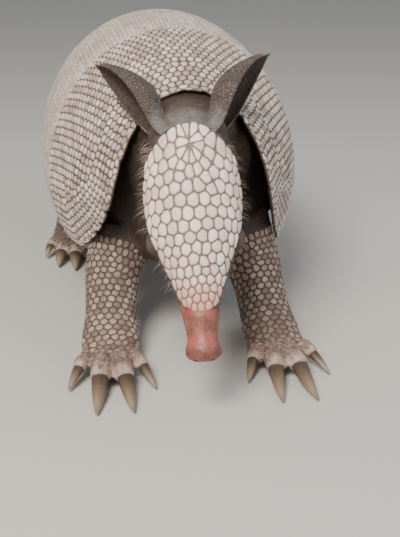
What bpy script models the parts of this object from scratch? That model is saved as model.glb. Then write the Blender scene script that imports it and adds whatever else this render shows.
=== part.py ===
"""A nine-banded armadillo, life size, standing on all four feet with its head lowered.

The model is in metres with +Z up. The animal looks along -Y, its left side is at +X, and its
soles and the end of its tail lie on the floor at Z = 0. The tables below are in millimetres.
"""

import math

import bmesh
import bpy
from mathutils import Matrix, Vector

MM = 0.001
SLOPE_STEP = 0.02          # share of a limb's or the tail's length over which its run is taken
GAP = 0.3                  # clearance between solids that touch

# The shell: sections across the body, from the nape (0) to the tail root (1).
# along, centre y, centre z, lean back, half width, height above, depth below, edge angle
SHELL_SECTIONS = (
    (-0.10, -111, 77, -12, 42, 60, 64, 112),
    (0.00, -91, 79, -9, 51, 66, 68, 115),
    (0.12, -63, 81, -6, 65, 78, 72, 117),
    (0.25, -27, 82, -3, 75, 88, 75, 118),
    (0.42, 24, 82, 2, 80, 93, 75, 118),
    (0.58, 72, 81, 9, 81, 92, 75, 118),
    (0.72, 104, 80, 18, 78, 84, 73, 117),
    (0.84, 129, 77, 34, 70, 72, 66, 112),
    (0.93, 144, 74, 53, 57, 58, 50, 108),
    (1.00, 154, 72, 71, 44, 46, 35, 100),
)
SHELL_THICK = 2.6
SHELL_COLUMNS = 16
SCAPULAR_ROWS = 6
PELVIC_ROWS = 8
SHIELD_CELLS = 8
SCAPULAR_REAR = 0.25
PELVIC_FRONT = 0.58
BAND_COUNT = 9
BAND_TUCK = 1.0            # how far a band's front edge lies below its rear edge
BAND_GAP = 0.0014          # room before and behind a band, as a share of the shell's length
LOBE_REACH = 0.085         # how far the shoulder lobes reach forward beside the head
LOBE_PLACE = 0.65          # where they reach furthest, from the spine (0) to the edge (1)
CORNER_CUT = 0.20          # how far the lower front corner is rounded back
CORNER_START = 0.66
CORNER_POWER = 2.2

# The trunk inside it: along, inset from the shell, belly depth below the centre
TRUNK_SECTIONS = (
    (0.00, 20, 38),
    (0.10, 13, 43),
    (0.25, 5.6, 47),
    (0.58, 5.6, 48),
    (0.80, 5.6, 42),
    (0.93, 5.6, 31),
    (1.00, 6.0, 24),
)
TRUNK_RINGS = 13
BODY_SIDES = 20            # round the trunk, the neck and the head

# The head, in its own frame: distance from the crown towards the nose, half width, height
# above the axis, depth below it
HEAD_SECTIONS = (
    (-14, 18.5, 14.0, 25.0),
    (-4, 20.4, 17.0, 26.0),
    (6, 22.2, 19.6, 25.6),
    (16, 23.6, 20.3, 24.5),
    (30, 24.4, 19.8, 22.5),
    (46, 22.6, 17.6, 19.5),
    (60, 18.6, 14.6, 15.8),
    (74, 13.2, 11.6, 11.8),
    (86, 9.8, 9.2, 9.0),
    (97, 9.0, 8.2, 7.8),
    (102.5, 8.4, 7.6, 7.0),
    (105, 6.6, 6.0, 5.4),
)
HEAD_RINGS = (-14, -6, 2, 9, 17, 26, 36, 46, 55, 64, 73, 82, 90, 97, 102.5, 105)
HEAD_PITCH = 58            # degrees that the face slopes below the horizontal
HEAD_YAW = 8               # degrees that it turns to the animal's right
HEAD_ROLL = 4              # degrees that the nose swings to the animal's left
HEAD_AXIS = Vector((0, -127, 122))
NAPE_START = 14            # the head's axis is straight beyond here, and bends behind it
NAPE_BEND = 1.6            # degrees for each millimetre of the bend
NECK_PIVOT = Vector((0, -98, 106))
NECK_STEPS = 3
NECK_ROOM = 0.45           # gap between the neck and its neighbours

# The horny shield on the head: its thickness, its ends and its half angle along the head
SHIELD_THICK = 2.0
SHIELD_BED = 1.0           # room between the shield and the flat faces of the skull
SHIELD_REAR = 1
SHIELD_FRONT = 82
SHIELD_ANGLES = ((1, 60), (9, 72), (24, 80), (50, 78), (70, 76), (82, 70))
SHIELD_REAR_CURVE = 12     # how far its rear corners are rounded forward
SHIELD_REAR_POWER = 2.2
SHIELD_FRONT_CURVE = 5     # how far its front corners are rounded back
BED_FRONT = 5              # the skull sinks over this length in front of the shield,
BED_REAR = 4               # over this length behind it,
BED_REAR_ROOM = 2          # from this far off its rear edge,
BED_SIDE = (97, 10)        # and from this angle down over this many degrees beside it

# Ears: along, half width of the leaf, wrap of the near and of the far side in degrees
EAR_SECTIONS = (
    (0.00, 6.4, 112, 140),
    (0.14, 8.4, 102, 136),
    (0.32, 10.4, 93, 130),
    (0.54, 10.0, 84, 124),
    (0.75, 7.6, 74, 114),
    (0.91, 4.3, 62, 98),
    (1.00, 1.3, 50, 64),
)
EAR_LENGTH = 47
EAR_SPLAY = 46
EAR_FORWARD = 20
EAR_THICK = 1.5
EAR_CURL = 2.5              # how far the middle of the ear bows backwards
EAR_ROOT = (-3, 14.5, 9)   # towards the nose, sideways, above the head's axis
EAR_EDGE_WIDTH = 3         # an ear narrower than this grows thinner too
EAR_CELLS = 7

EYE_RADIUS = 4.0
EYE_PLACE = (49, 96)       # distance from the crown, angle down from the top of the head
EYE_DEPTH = 2.7
EYE_SEGMENTS = 8
EYE_RINGS = 6

# Legs: x, y, z of the limb's middle, half width across, half thickness along, on the left
FORELEG = (
    (33, -68, 66, 17, 18),
    (36, -70, 53, 16.5, 17),
    (40, -76, 40, 15.5, 15),
    (42, -86, 28, 14, 12.5),
    (43, -97, 18.5, 14, 10.5),
    (44, -108, 11.5, 15.5, 9),
    (44.5, -119, 7.0, 15, 7.4),
)
HINDLEG = (
    (35, 93, 68, 17, 20),
    (41, 94, 56, 17, 20),
    (49, 98, 43, 16, 18.5),
    (57, 107, 31, 15, 16),
    (59, 110, 20, 14, 13.5),
    (60, 101, 11.5, 15, 11),
    (61, 86, 8.6, 16.5, 9.0),
    (61.5, 72, 7.4, 16.5, 7.8),
)
LEG_SIDES = 12
LEG_RINGS = 8

# Digits from the inner one out: name, sideways place, forward place, turn outwards,
# toe length, toe radius, claw length, claw radius
FORE_DIGITS = (
    ("inner", -11.5, 4, -20, 12, 4.8, 16, 2.9),
    ("second", -4.4, 9, -5, 17, 6.3, 27, 4.1),
    ("third", 4.8, 8, 6, 17, 6.5, 28, 4.3),
    ("outer", 12.0, 2, 24, 12, 4.8, 15, 2.9),
)
HIND_DIGITS = (
    ("inner", -13.0, -5, -16, 12, 4.5, 10, 3.0),
    ("second", -7.6, 3, -7, 17, 5.6, 15, 3.9),
    ("third", -0.4, 6, 1, 18, 6.0, 17, 4.2),
    ("fourth", 7.0, 2, 9, 16, 5.6, 15, 3.9),
    ("outer", 13.0, -7, 22, 11, 4.5, 10, 3.0),
)
# A toe: share of its length, size, rise of its middle
TOE_SECTIONS = ((0, 0.8, 0), (0.45, 1, 1.5), (0.8, 1, 1.2), (1, 0.84, 0.4))
TOE_SIDES = 7
TOE_DROP = 0.35            # slope of a toe's end face
TOE_START = 10             # how far back inside the foot a toe begins
CLAW_SIDES = 7
CLAW_RINGS = 4
CLAW_TIP_HEIGHT = 1.8
CLAW_ROOM = 0.5            # gap between a toe and its claw
CLAW_RISE = 0.4            # height of a claw's root over its toe's middle
CLAW_DEPTH = 0.82          # a claw's depth as a share of its width
CLAW_TAPER = 0.86          # share of its width that a claw loses towards its tip
CLAW_TAPER_POWER = 1.6
CLAW_STEEPEST = 0.95       # sine of the steepest mean slope of a claw

# The tail: x, y, z of its middle and its radius
TAIL = (
    (0, 180, 66, 20.0),
    (0, 205, 55, 18.2),
    (-1, 240, 38.5, 15.6),
    (-4, 280, 22, 12.8),
    (-9, 322, 11.8, 10.3),
    (-13, 366, 7.8, 8.1),
    (-12, 415, 5.7, 6.0),
    (-5, 465, 3.7, 4.0),
    (4, 510, 2.0, 2.3),
)
TAIL_RINGS = 12
TAIL_RINGS_END = 0.58      # share of the tail's length that the rings cover
TAIL_SIDES = 12
TAIL_GAP = 0.0009          # room before and behind a ring, as a share of the tail's length
RING_FLARE = 1.2           # how far a ring's rear edge stands out over its front edge
TIP_STEPS = 10

HORN = (0.66, 0.59, 0.54)
SKIN = (0.21, 0.16, 0.14)
CLAW_HORN = (0.58, 0.50, 0.38)


# ---------------------------------------------------------------- helpers

def smooth_row(table, position):
    """The row of a table at a position, on a smooth curve through the table's rows."""
    last = len(table) - 1
    index = 0
    while index < last - 1 and position > table[index + 1][0]:
        index += 1
    start, end = table[index], table[index + 1]
    span = end[0] - start[0]
    t = min(1, max(0, (position - start[0]) / span))
    row = []
    for column in range(1, len(start)):
        def slope(i):
            low, high = max(0, i - 1), min(last, i + 1)
            return (table[high][column] - table[low][column]) / (table[high][0] - table[low][0])
        rise = end[column] - start[column]
        m0, m1 = slope(index) * span, slope(index + 1) * span
        row.append(start[column] + m0 * t + (3 * rise - 2 * m0 - m1) * t ** 2
                   + (m0 + m1 - 2 * rise) * t ** 3)
    return row


def by_length(points):
    """Rows of (share of the length, x, y, z, ...) from rows of (x, y, z, ...)."""
    lengths = [0]
    for before, after in zip(points, points[1:]):
        lengths.append(lengths[-1] + (Vector(after[:3]) - Vector(before[:3])).length)
    return [(length / lengths[-1],) + tuple(row) for length, row in zip(lengths, points)]


def material(name, colour, roughness):
    """A plain finish for one kind of part."""
    made = bpy.data.materials.new(name)
    made.use_nodes = True
    shader = made.node_tree.nodes["Principled BSDF"]
    shader.inputs["Base Color"].default_value = (*colour, 1)
    shader.inputs["Roughness"].default_value = roughness
    shader.inputs["Metallic"].default_value = 0
    return made


def solid(name, points, faces, finish, folder):
    """A closed object from points in millimetres and the faces between them."""
    mesh = bpy.data.meshes.new(name)
    mesh.from_pydata([Vector(point) * MM for point in points], [], faces)
    work = bmesh.new()
    work.from_mesh(mesh)
    bmesh.ops.recalc_face_normals(work, faces=work.faces)
    work.to_mesh(mesh)
    work.free()
    mesh.shade_smooth()
    mesh.materials.append(finish)
    made = bpy.data.objects.new(name, mesh)
    folder.objects.link(made)
    return made


def loft(name, rings, finish, folder):
    """A closed solid through rings with the same number of points, flat at both ends."""
    sides = len(rings[0])
    points = [point for ring in rings for point in ring]
    faces = []
    for row in range(len(rings) - 1):
        for side in range(sides):
            a = row * sides + side
            b = row * sides + (side + 1) % sides
            faces.append((a, b, b + sides))
            faces.append((a, b + sides, a + sides))
    faces.append(tuple(range(sides)))
    faces.append(tuple(range(len(points) - sides, len(points))))
    return solid(name, points, faces, finish, folder)


def plate(name, surface, rows, columns, thick, finish, folder):
    """A curved plate. surface(a, b, depth) gives its points, a and b run from 0 to 1."""
    points = []
    for depth in (0, thick):
        for i in range(rows + 1):
            for j in range(columns + 1):
                points.append(surface(i / rows, j / columns, depth))
    across = columns + 1
    layer = (rows + 1) * across
    faces = []
    for i in range(rows):
        for j in range(columns):
            a = i * across + j
            corner = a + across + 1
            faces.append((a, a + 1, corner))
            faces.append((a, corner, corner - 1))
            faces.append((a + layer, corner + layer, a + 1 + layer))
            faces.append((a + layer, corner - 1 + layer, corner + layer))
    rim = [j for j in range(across)]
    rim += [i * across + columns for i in range(1, rows + 1)]
    rim += [rows * across + j for j in range(columns - 1, -1, -1)]
    rim += [i * across for i in range(rows - 1, 0, -1)]
    for a, b in zip(rim, rim[1:] + rim[:1]):
        faces.append((a, a + layer, b + layer, b))
    return solid(name, points, faces, finish, folder)


def ellipse(centre, across, along, sides):
    """A ring of points around a centre, spanned by two half axes."""
    angles = [2 * math.pi * side / sides for side in range(sides)]
    return [centre + across * math.cos(angle) + along * math.sin(angle) for angle in angles]


def boolean(target, tool, operation):
    """Keep a Boolean with another object on the target."""
    modifier = target.modifiers.new(f"{operation.lower()} {tool.name}", "BOOLEAN")
    modifier.operation = operation
    modifier.solver = "EXACT"
    modifier.object = tool


# ---------------------------------------------------------------- shell and trunk

def shell_point(along, angle, lift):
    """A point on the shell, at an angle in radians from the top of the back."""
    y, z, lean, width, height, skirt, _ = smooth_row(SHELL_SECTIONS, along)
    lean = math.radians(lean)
    rise = (height + lift if math.cos(angle) > 0 else skirt + lift) * math.cos(angle)
    return Vector(((width + lift) * math.sin(angle),
                   y + rise * math.sin(lean),
                   z + rise * math.cos(lean)))


def shell_angle(along, across):
    """The angle from the top of the back; across runs from 0 (right edge) to 1 (left edge)."""
    edge = smooth_row(SHELL_SECTIONS, along)[6]
    return math.radians(edge * (2 * across - 1))


def scapular_point(a, b, depth):
    """The shoulder shield: lobes reach forward beside the head, the lower corners are round."""
    out = abs(2 * b - 1)
    front = LOBE_REACH * (math.cos(math.pi * min(1, out / LOBE_PLACE)) - 1) / 2
    front += CORNER_CUT * max(0, (out - CORNER_START) / (1 - CORNER_START)) ** CORNER_POWER
    along = front + (SCAPULAR_REAR - front) * a
    return shell_point(along, shell_angle(along, b), -depth)


def pelvic_point(a, b, depth):
    """The hip shield, from the last band to the root of the tail."""
    along = PELVIC_FRONT + (1 - PELVIC_FRONT) * a
    return shell_point(along, shell_angle(along, b), -depth)


def band_point(index):
    """The surface of one movable band, whose front edge tucks under the one before it."""
    pitch = (PELVIC_FRONT - SCAPULAR_REAR) / BAND_COUNT
    start = SCAPULAR_REAR + index * pitch + BAND_GAP
    end = start + pitch - 2 * BAND_GAP

    def surface(a, b, depth):
        along = start + (end - start) * a
        return shell_point(along, shell_angle(along, b), BAND_TUCK * (a - 1) - depth)
    return surface


def trunk_ring(along, lift):
    """One section of the trunk: it fills the shell above and rounds into the belly below."""
    y, z, lean, width, height, _, _ = smooth_row(SHELL_SECTIONS, along)
    inset, belly = smooth_row(TRUNK_SECTIONS, along)
    lean = math.radians(lean)
    ring = []
    for side in range(BODY_SIDES):
        angle = 2 * math.pi * side / BODY_SIDES
        rise = (height - inset if math.cos(angle) > 0 else belly) + lift
        rise *= math.cos(angle)
        ring.append(Vector(((width - inset + lift) * math.sin(angle),
                            y + rise * math.sin(lean),
                            z + rise * math.cos(lean))))
    return ring


def trunk_rings(lift):
    """All sections of the trunk; lift makes a larger copy, which clears its neighbours."""
    rings = [trunk_ring(i / TRUNK_RINGS, lift) for i in range(TRUNK_RINGS + 1)]
    rings[0] = [point - Vector((0, lift, 0)) for point in rings[0]]
    rings[-1] = [point + Vector((0, lift, 0)) for point in rings[-1]]
    return rings


# ---------------------------------------------------------------- head and neck

def turned(point, share):
    """Turn a point of the straight head about the neck, by a share of the full turn."""
    pitch = math.radians(HEAD_PITCH)
    face = Vector((0, -math.sin(pitch), math.cos(pitch)))
    turn = Matrix.Rotation(math.radians(-HEAD_YAW * share), 3, "Z")
    roll = Matrix.Rotation(math.radians(HEAD_ROLL * share), 3, face)
    return NECK_PIVOT + turn @ (roll @ (Vector(point) - NECK_PIVOT))


def head_place(forward, side, above):
    """A point from the head's own axes: towards the nose, to its left, above its axis."""
    pitch = math.radians(HEAD_PITCH)
    straight = max(forward, NAPE_START)
    place = HEAD_AXIS + Vector((0, -math.cos(pitch), -math.sin(pitch))) * straight
    if forward < NAPE_START:
        rate = math.radians(NAPE_BEND)
        nape = pitch - rate * (NAPE_START - forward)
        place.y += (math.sin(pitch) - math.sin(nape)) / rate
        place.z += (math.cos(nape) - math.cos(pitch)) / rate
        pitch = nape
    up = Vector((0, -math.sin(pitch), math.cos(pitch)))
    return turned(place + Vector((side, 0, 0)) + up * above, 1)


def head_point(forward, angle, lift):
    """A point on the head, at an angle in radians from the top of the skull."""
    width, top, bottom = smooth_row(HEAD_SECTIONS, forward)
    above = (top if math.cos(angle) > 0 else bottom) + lift
    return head_place(forward, (width + lift) * math.sin(angle), above * math.cos(angle))


def shield_edge(forward):
    return math.radians(smooth_row(SHIELD_ANGLES, forward)[0])


def head_lift(forward, angle):
    """How far the head lies below its outline, to leave room for the shield."""
    bed_start = SHIELD_REAR - BED_REAR_ROOM - BED_REAR
    ease = min(1, max(0, (SHIELD_FRONT + BED_FRONT - forward) / BED_FRONT))
    ease *= min(1, max(0, (forward - bed_start) / BED_REAR))
    side = abs((math.degrees(angle) + 180) % 360 - 180)
    ease *= min(1, max(0, (BED_SIDE[0] - side) / BED_SIDE[1]))
    return -(SHIELD_THICK + SHIELD_BED) * ease


def head_ring(forward):
    """A section of the skull and jaw, sunk under the shield."""
    angles = [2 * math.pi * side / BODY_SIDES for side in range(BODY_SIDES)]
    return [head_point(forward, angle, head_lift(forward, angle)) for angle in angles]


def outline_ring(forward, lift):
    """A section of the head with its shield."""
    angles = [2 * math.pi * side / BODY_SIDES for side in range(BODY_SIDES)]
    return [head_point(forward, angle, lift) for angle in angles]


def shield_point(a, b, depth):
    """The head shield: round at the crown and at the snout, down to the temples."""
    out = 2 * b - 1
    rear = SHIELD_REAR + SHIELD_REAR_CURVE * abs(out) ** SHIELD_REAR_POWER
    front = SHIELD_FRONT - SHIELD_FRONT_CURVE * out ** 2
    forward = rear + (front - rear) * a
    return head_point(forward, shield_edge(forward) * out, -depth)


def neck_rings():
    """From the trunk's front section to the back of the head, a gap short of each."""
    front = trunk_ring(0, 0)
    back = head_ring(HEAD_RINGS[0])
    middle_front = sum(front, Vector()) / BODY_SIDES
    middle_back = sum(back, Vector()) / BODY_SIDES
    towards = (middle_back - middle_front).normalized() * NECK_ROOM
    rings = []
    for step in range(NECK_STEPS + 1):
        t = step / NECK_STEPS
        ease = t * t * (3 - 2 * t)
        shift = towards * (1 - 2 * t)
        rings.append([a.lerp(b, 0.5 * (t + ease)) + shift for a, b in zip(front, back)])
    return rings


def widened(ring):
    """A ring grown by the gap all round."""
    middle = sum(ring, Vector()) / len(ring)
    return [point + (point - middle).normalized() * GAP for point in ring]


def ear_surface(side):
    """One ear: a leaf rolled into a trumpet whose mouth looks outwards."""
    root = head_place(EAR_ROOT[0], side * EAR_ROOT[1], EAR_ROOT[2])
    splay = math.radians(EAR_SPLAY)
    lift = math.radians(EAR_FORWARD)
    axis = head_place(EAR_ROOT[0] - math.cos(splay) * math.cos(lift),
                      side * (EAR_ROOT[1] + math.sin(splay)),
                      EAR_ROOT[2] + math.sin(lift)) - root
    axis.normalize()
    face = (head_place(0, 0, 1) - head_place(0, 0, 0)).normalized()
    mouth = axis.cross(face).normalized() * side
    near = mouth.cross(axis).normalized() * side

    def surface(a, b, depth):
        half, near_wrap, far_wrap = smooth_row(EAR_SECTIONS, a)
        angle = math.radians(-far_wrap + (near_wrap + far_wrap) * b)
        bend = EAR_CURL * math.sin(math.pi * a)
        middle = root + axis * EAR_LENGTH * a - mouth * bend
        radius = half - depth * min(1, half / EAR_EDGE_WIDTH)
        return middle + mouth * -math.cos(angle) * radius + near * math.sin(angle) * radius
    return surface


# ---------------------------------------------------------------- legs, claws and tail

def mirrored(point, side):
    return Vector((point[0] * side, point[1], point[2]))


def limb_rings(table, side):
    """Sections of a leg, square to its middle line."""
    rows = by_length(table)
    rings = []
    for step in range(LEG_RINGS + 1):
        t = step / LEG_RINGS
        x, y, z, across, thick = smooth_row(rows, t)
        ahead = Vector(smooth_row(rows, min(1, t + SLOPE_STEP))[:3])
        behind = Vector(smooth_row(rows, max(0, t - SLOPE_STEP))[:3])
        run = (ahead - behind).normalized()
        sideways = Vector((1, 0, 0))
        sideways = (sideways - run * sideways.dot(run)).normalized()
        along = run.cross(sideways)
        ring = ellipse(Vector((x, y, z)), sideways * across, along * thick, LEG_SIDES)
        rings.append([mirrored(point, side) for point in ring])
    return rings


def digit_frame(foot, digit, side):
    """Where a digit starts, the way it points and its own sideways direction."""
    _, place, forward, turn, _, _, _, _ = digit
    turn = math.radians(turn)
    ahead = Vector((math.sin(turn), -math.cos(turn), 0))
    start = Vector(foot) + Vector((place, -forward, 0)) - ahead * TOE_START
    return mirrored(start, side), mirrored(ahead, side)


def toe_rings(foot, digit, side):
    start, ahead = digit_frame(foot, digit, side)
    length, radius = digit[4], digit[5]
    across = Vector((0, 0, 1)).cross(ahead)
    rings = []
    for share, size, rise in TOE_SECTIONS:
        middle = start + ahead * (TOE_START + length) * share + Vector((0, 0, rise))
        up = Vector((0, 0, 1)) + ahead * TOE_DROP * share
        rings.append(ellipse(middle, across * radius * size, up.normalized() * radius * size,
                             TOE_SIDES))
    return rings


def claw_rings(foot, digit, side):
    """A tapered horn that leaves the toe's end and curves down to the floor."""
    start, ahead = digit_frame(foot, digit, side)
    toe_length, length, radius = digit[4], digit[6], digit[7]
    across = Vector((0, 0, 1)).cross(ahead)
    slope = math.atan(TOE_DROP)
    middle = start + ahead * (TOE_START + toe_length + CLAW_ROOM) + Vector((0, 0, CLAW_RISE))
    fall = middle.z - CLAW_TIP_HEIGHT
    bend = 2 * (math.asin(min(CLAW_STEEPEST, fall / length)) - slope)
    rings = []
    for step in range(CLAW_RINGS + 1):
        t = step / CLAW_RINGS
        angle = slope + bend * t
        run = ahead * math.cos(angle) - Vector((0, 0, math.sin(angle)))
        up = ahead * math.sin(angle) + Vector((0, 0, math.cos(angle)))
        size = radius * (1 - CLAW_TAPER * t ** CLAW_TAPER_POWER)
        rings.append(ellipse(middle, across * size, up * size * CLAW_DEPTH, CLAW_SIDES))
        middle = middle + run * length / CLAW_RINGS
    return rings


def tail_ring(share, lift):
    """One round section of the tail."""
    rows = by_length(TAIL)
    x, y, z, radius = smooth_row(rows, share)
    ahead = Vector(smooth_row(rows, min(1, share + SLOPE_STEP))[:3])
    behind = Vector(smooth_row(rows, max(0, share - SLOPE_STEP))[:3])
    run = (ahead - behind).normalized()
    across = Vector((0, 0, 1)).cross(run).normalized()
    up = run.cross(across)
    radius += lift
    return ellipse(Vector((x, y, z)), across * radius, up * radius, TAIL_SIDES)


# ---------------------------------------------------------------- building

def build_shell(horn, folder):
    plate("scapular_shield", scapular_point, SCAPULAR_ROWS, SHELL_COLUMNS, SHELL_THICK, horn,
          folder)
    for index in range(BAND_COUNT):
        plate(f"band_{index + 1}", band_point(index), 1, SHELL_COLUMNS, SHELL_THICK, horn, folder)
    plate("pelvic_shield", pelvic_point, PELVIC_ROWS, SHELL_COLUMNS, SHELL_THICK, horn, folder)


def build_head(skin, horn, folder, tools):
    head = loft("head", [head_ring(forward) for forward in HEAD_RINGS], skin, folder)
    plate("head_shield", shield_point, SHIELD_CELLS, SHIELD_CELLS, SHIELD_THICK, horn,
          folder)
    loft("neck", neck_rings(), skin, folder)
    room = [widened(ring) for ring in neck_rings()]
    room += [outline_ring(forward, GAP) for forward in HEAD_RINGS]
    clearance = loft("head_clearance", room, skin, tools)
    dark = material("eye", (0.02, 0.015, 0.012), 0.1)
    for side, name in ((1, "left"), (-1, "right")):
        angle = math.radians(EYE_PLACE[1]) * side
        place = head_point(EYE_PLACE[0], angle, -EYE_DEPTH) * MM
        socket = ball(f"socket_{name}", place, EYE_RADIUS + GAP, dark, tools)
        boolean(head, socket, "DIFFERENCE")
        ball(f"eye_{name}", place, EYE_RADIUS, dark, folder)
        ear = plate(f"ear_{name}", ear_surface(side), EAR_CELLS, EAR_CELLS, EAR_THICK,
                    skin, folder)
        boolean(ear, clearance, "DIFFERENCE")


def ball(name, place, radius, finish, folder):
    """A round ball from a primitive, at a place in metres."""
    bpy.ops.mesh.primitive_uv_sphere_add(segments=EYE_SEGMENTS, ring_count=EYE_RINGS,
                                         radius=radius * MM, location=place)
    made = bpy.context.object
    made.name = name
    made.data.materials.append(finish)
    made.data.shade_smooth()
    for home in made.users_collection:
        home.objects.unlink(made)
    folder.objects.link(made)
    return made


def build_legs(skin, claw_horn, folder, tools):
    trunk_space = loft("trunk_clearance", trunk_rings(2 * GAP), skin, tools)
    bpy.ops.mesh.primitive_cube_add(size=2, location=(0, 0, -1))
    floor = bpy.context.object
    floor.name = "floor_clearance"
    for home in floor.users_collection:
        home.objects.unlink(floor)
    tools.objects.link(floor)
    limbs = (("foreleg", FORELEG, FORE_DIGITS), ("hindleg", HINDLEG, HIND_DIGITS))
    for kind, table, digits in limbs:
        foot = table[-1][:3]
        for side, name in ((1, "left"), (-1, "right")):
            leg = loft(f"{kind}_{name}", limb_rings(table, side), skin, folder)
            for digit in digits:
                toe = loft(f"{kind}_{name}_{digit[0]}_toe", toe_rings(foot, digit, side),
                           skin, tools)
                boolean(leg, toe, "UNION")
                loft(f"{kind}_{name}_claw_{digit[0]}", claw_rings(foot, digit, side),
                     claw_horn, folder)
            boolean(leg, trunk_space, "DIFFERENCE")
            boolean(leg, floor, "DIFFERENCE")
    return floor


def build_tail(horn, folder, tools, floor):
    share = TAIL_RINGS_END / TAIL_RINGS
    for index in range(TAIL_RINGS):
        start = index * share + TAIL_GAP
        end = (index + 1) * share - TAIL_GAP
        rings = [tail_ring(start, -RING_FLARE), tail_ring((start + end) / 2, 0),
                 tail_ring(end, 0)]
        ring = loft(f"tail_ring_{index + 1}", rings, horn, folder)
        boolean(ring, floor, "DIFFERENCE")
        if index == 0:
            boolean(ring, tools.objects["trunk_clearance"], "DIFFERENCE")
    start = TAIL_RINGS_END + TAIL_GAP
    rings = [tail_ring(start + (1 - start) * i / TIP_STEPS, 0) for i in range(TIP_STEPS + 1)]
    tip = loft("tail_tip", rings, horn, folder)
    boolean(tip, floor, "DIFFERENCE")


def centre_on_floor(folder, tools):
    """Hang everything on an empty that brings the middle of the model's box to the origin."""
    bpy.context.view_layer.update()
    view = bpy.context.evaluated_depsgraph_get()
    corners = []
    for part in folder.objects:
        shape = part.evaluated_get(view)
        corners += [shape.matrix_world @ Vector(corner) for corner in shape.bound_box]
    low = Vector([min(corner[axis] for corner in corners) for axis in range(3)])
    high = Vector([max(corner[axis] for corner in corners) for axis in range(3)])
    origin = bpy.data.objects.new("origin", None)
    folder.objects.link(origin)
    origin.location = (-(low.x + high.x) / 2, -(low.y + high.y) / 2, -low.z)
    for piece in list(folder.objects) + list(tools.objects):
        if piece != origin:
            piece.parent = origin


def main():
    for old in list(bpy.data.objects):
        bpy.data.objects.remove(old)
    folder = bpy.data.collections.new("armadillo")
    tools = bpy.data.collections.new("cutters")
    bpy.context.scene.collection.children.link(folder)
    bpy.context.scene.collection.children.link(tools)
    horn = material("horn", HORN, 0.55)
    skin = material("skin", SKIN, 0.7)
    claw_horn = material("claw", CLAW_HORN, 0.4)
    build_shell(horn, folder)
    loft("trunk", trunk_rings(0), skin, folder)
    build_head(skin, horn, folder, tools)
    floor = build_legs(skin, claw_horn, folder, tools)
    build_tail(horn, folder, tools, floor)
    for tool in tools.objects:
        tool.hide_render = True
        tool.display_type = "WIRE"
    centre_on_floor(folder, tools)


main()
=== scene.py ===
# %% [markdown]
# # A nine-banded armadillo, standing with its head lowered
#
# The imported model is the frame: it holds the armadillo's pieces as plain solids at their true size.
# This script gives them their looks. Bony shields are made again scute by scute, one seamless skin
# covers the head, legs and trunk, and every surface gets the finish of the real one.
#
# The cells run in order, as in a notebook. First come the frame and a few helpers, then the shapes
# that the shields follow, then one step for each kind of piece, and last the floor, lights and camera.

# %% The frame
from math import asin, atan, cos, degrees, pi, radians, sin, sqrt
import random

import bmesh
import bpy
import numpy as np
from mathutils import Matrix, Vector, noise
from mathutils.bvhtree import BVHTree
from mathutils.kdtree import KDTree


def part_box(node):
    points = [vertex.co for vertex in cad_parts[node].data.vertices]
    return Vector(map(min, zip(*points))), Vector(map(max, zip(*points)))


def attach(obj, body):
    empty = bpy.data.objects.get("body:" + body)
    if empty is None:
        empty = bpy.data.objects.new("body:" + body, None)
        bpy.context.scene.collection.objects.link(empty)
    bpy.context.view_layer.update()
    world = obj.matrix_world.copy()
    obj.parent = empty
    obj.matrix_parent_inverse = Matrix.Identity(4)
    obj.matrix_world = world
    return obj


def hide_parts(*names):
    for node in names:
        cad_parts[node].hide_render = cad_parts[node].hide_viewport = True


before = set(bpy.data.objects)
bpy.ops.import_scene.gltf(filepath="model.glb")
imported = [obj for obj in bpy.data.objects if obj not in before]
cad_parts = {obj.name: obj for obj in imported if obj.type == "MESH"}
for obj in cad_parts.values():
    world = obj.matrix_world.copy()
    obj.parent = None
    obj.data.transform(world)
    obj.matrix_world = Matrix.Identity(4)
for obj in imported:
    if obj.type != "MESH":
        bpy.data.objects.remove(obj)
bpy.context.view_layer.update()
MM = 0.001
RANDOM = random.Random(9)

# %% [markdown]
# ## Helpers for selecting and for materials
#
# Blender's operators act on what is selected, and the frame arrives selected, so each step starts
# by picking exactly the object that it works on. Colours are written as the hex codes that a
# colour picker shows, and one function turns them into the linear values that shaders work in.

# %% Picking objects and editing them


def pick(piece):
    """Select one object alone and make it the active one."""
    bpy.ops.object.select_all(action="DESELECT")
    piece.select_set(True)
    bpy.context.view_layer.objects.active = piece
    return piece


def apply_modifier(piece, kind, **settings):
    """Add a modifier with its settings and apply it."""
    pick(piece)
    modifier = piece.modifiers.new(kind, kind)
    for name, value in settings.items():
        setattr(modifier, name, value)
    bpy.ops.object.modifier_apply(modifier=modifier.name)


def edit_all(piece, operator, **settings):
    """Run one edit-mode operator on the whole of a piece."""
    pick(piece)
    bpy.ops.object.mode_set(mode="EDIT")
    bpy.ops.mesh.select_all(action="SELECT")
    operator(**settings)
    bpy.ops.object.mode_set(mode="OBJECT")


def new_piece(name, points, faces):
    """An object with a mesh of these points and faces, picked."""
    mesh = bpy.data.meshes.new(name)
    mesh.from_pydata(points, [], faces)
    made = bpy.data.objects.new(name, mesh)
    bpy.context.scene.collection.objects.link(made)
    return pick(made)


# %% Colours, materials and nodes


def linear(code):
    """A linear colour from an sRGB hex code."""
    channels = [int(code[start:start + 2], 16) / 255 for start in (1, 3, 5)]
    return tuple(c / 12.92 if c <= 0.04045 else ((c + 0.055) / 1.055) ** 2.4 for c in channels) + (1,)


def new_material(name):
    """A material, its node tree and its shader."""
    made = bpy.data.materials.new(name)
    made.use_nodes = True
    return made, made.node_tree, made.node_tree.nodes["Principled BSDF"]


def fill(shader_node, inputs):
    """Set a node's inputs to values, or link them to outputs of other nodes."""
    for name, value in inputs.items():
        if isinstance(value, bpy.types.NodeSocket):
            shader_node.id_data.links.new(value, shader_node.inputs[name])
        else:
            shader_node.inputs[name].default_value = value


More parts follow.
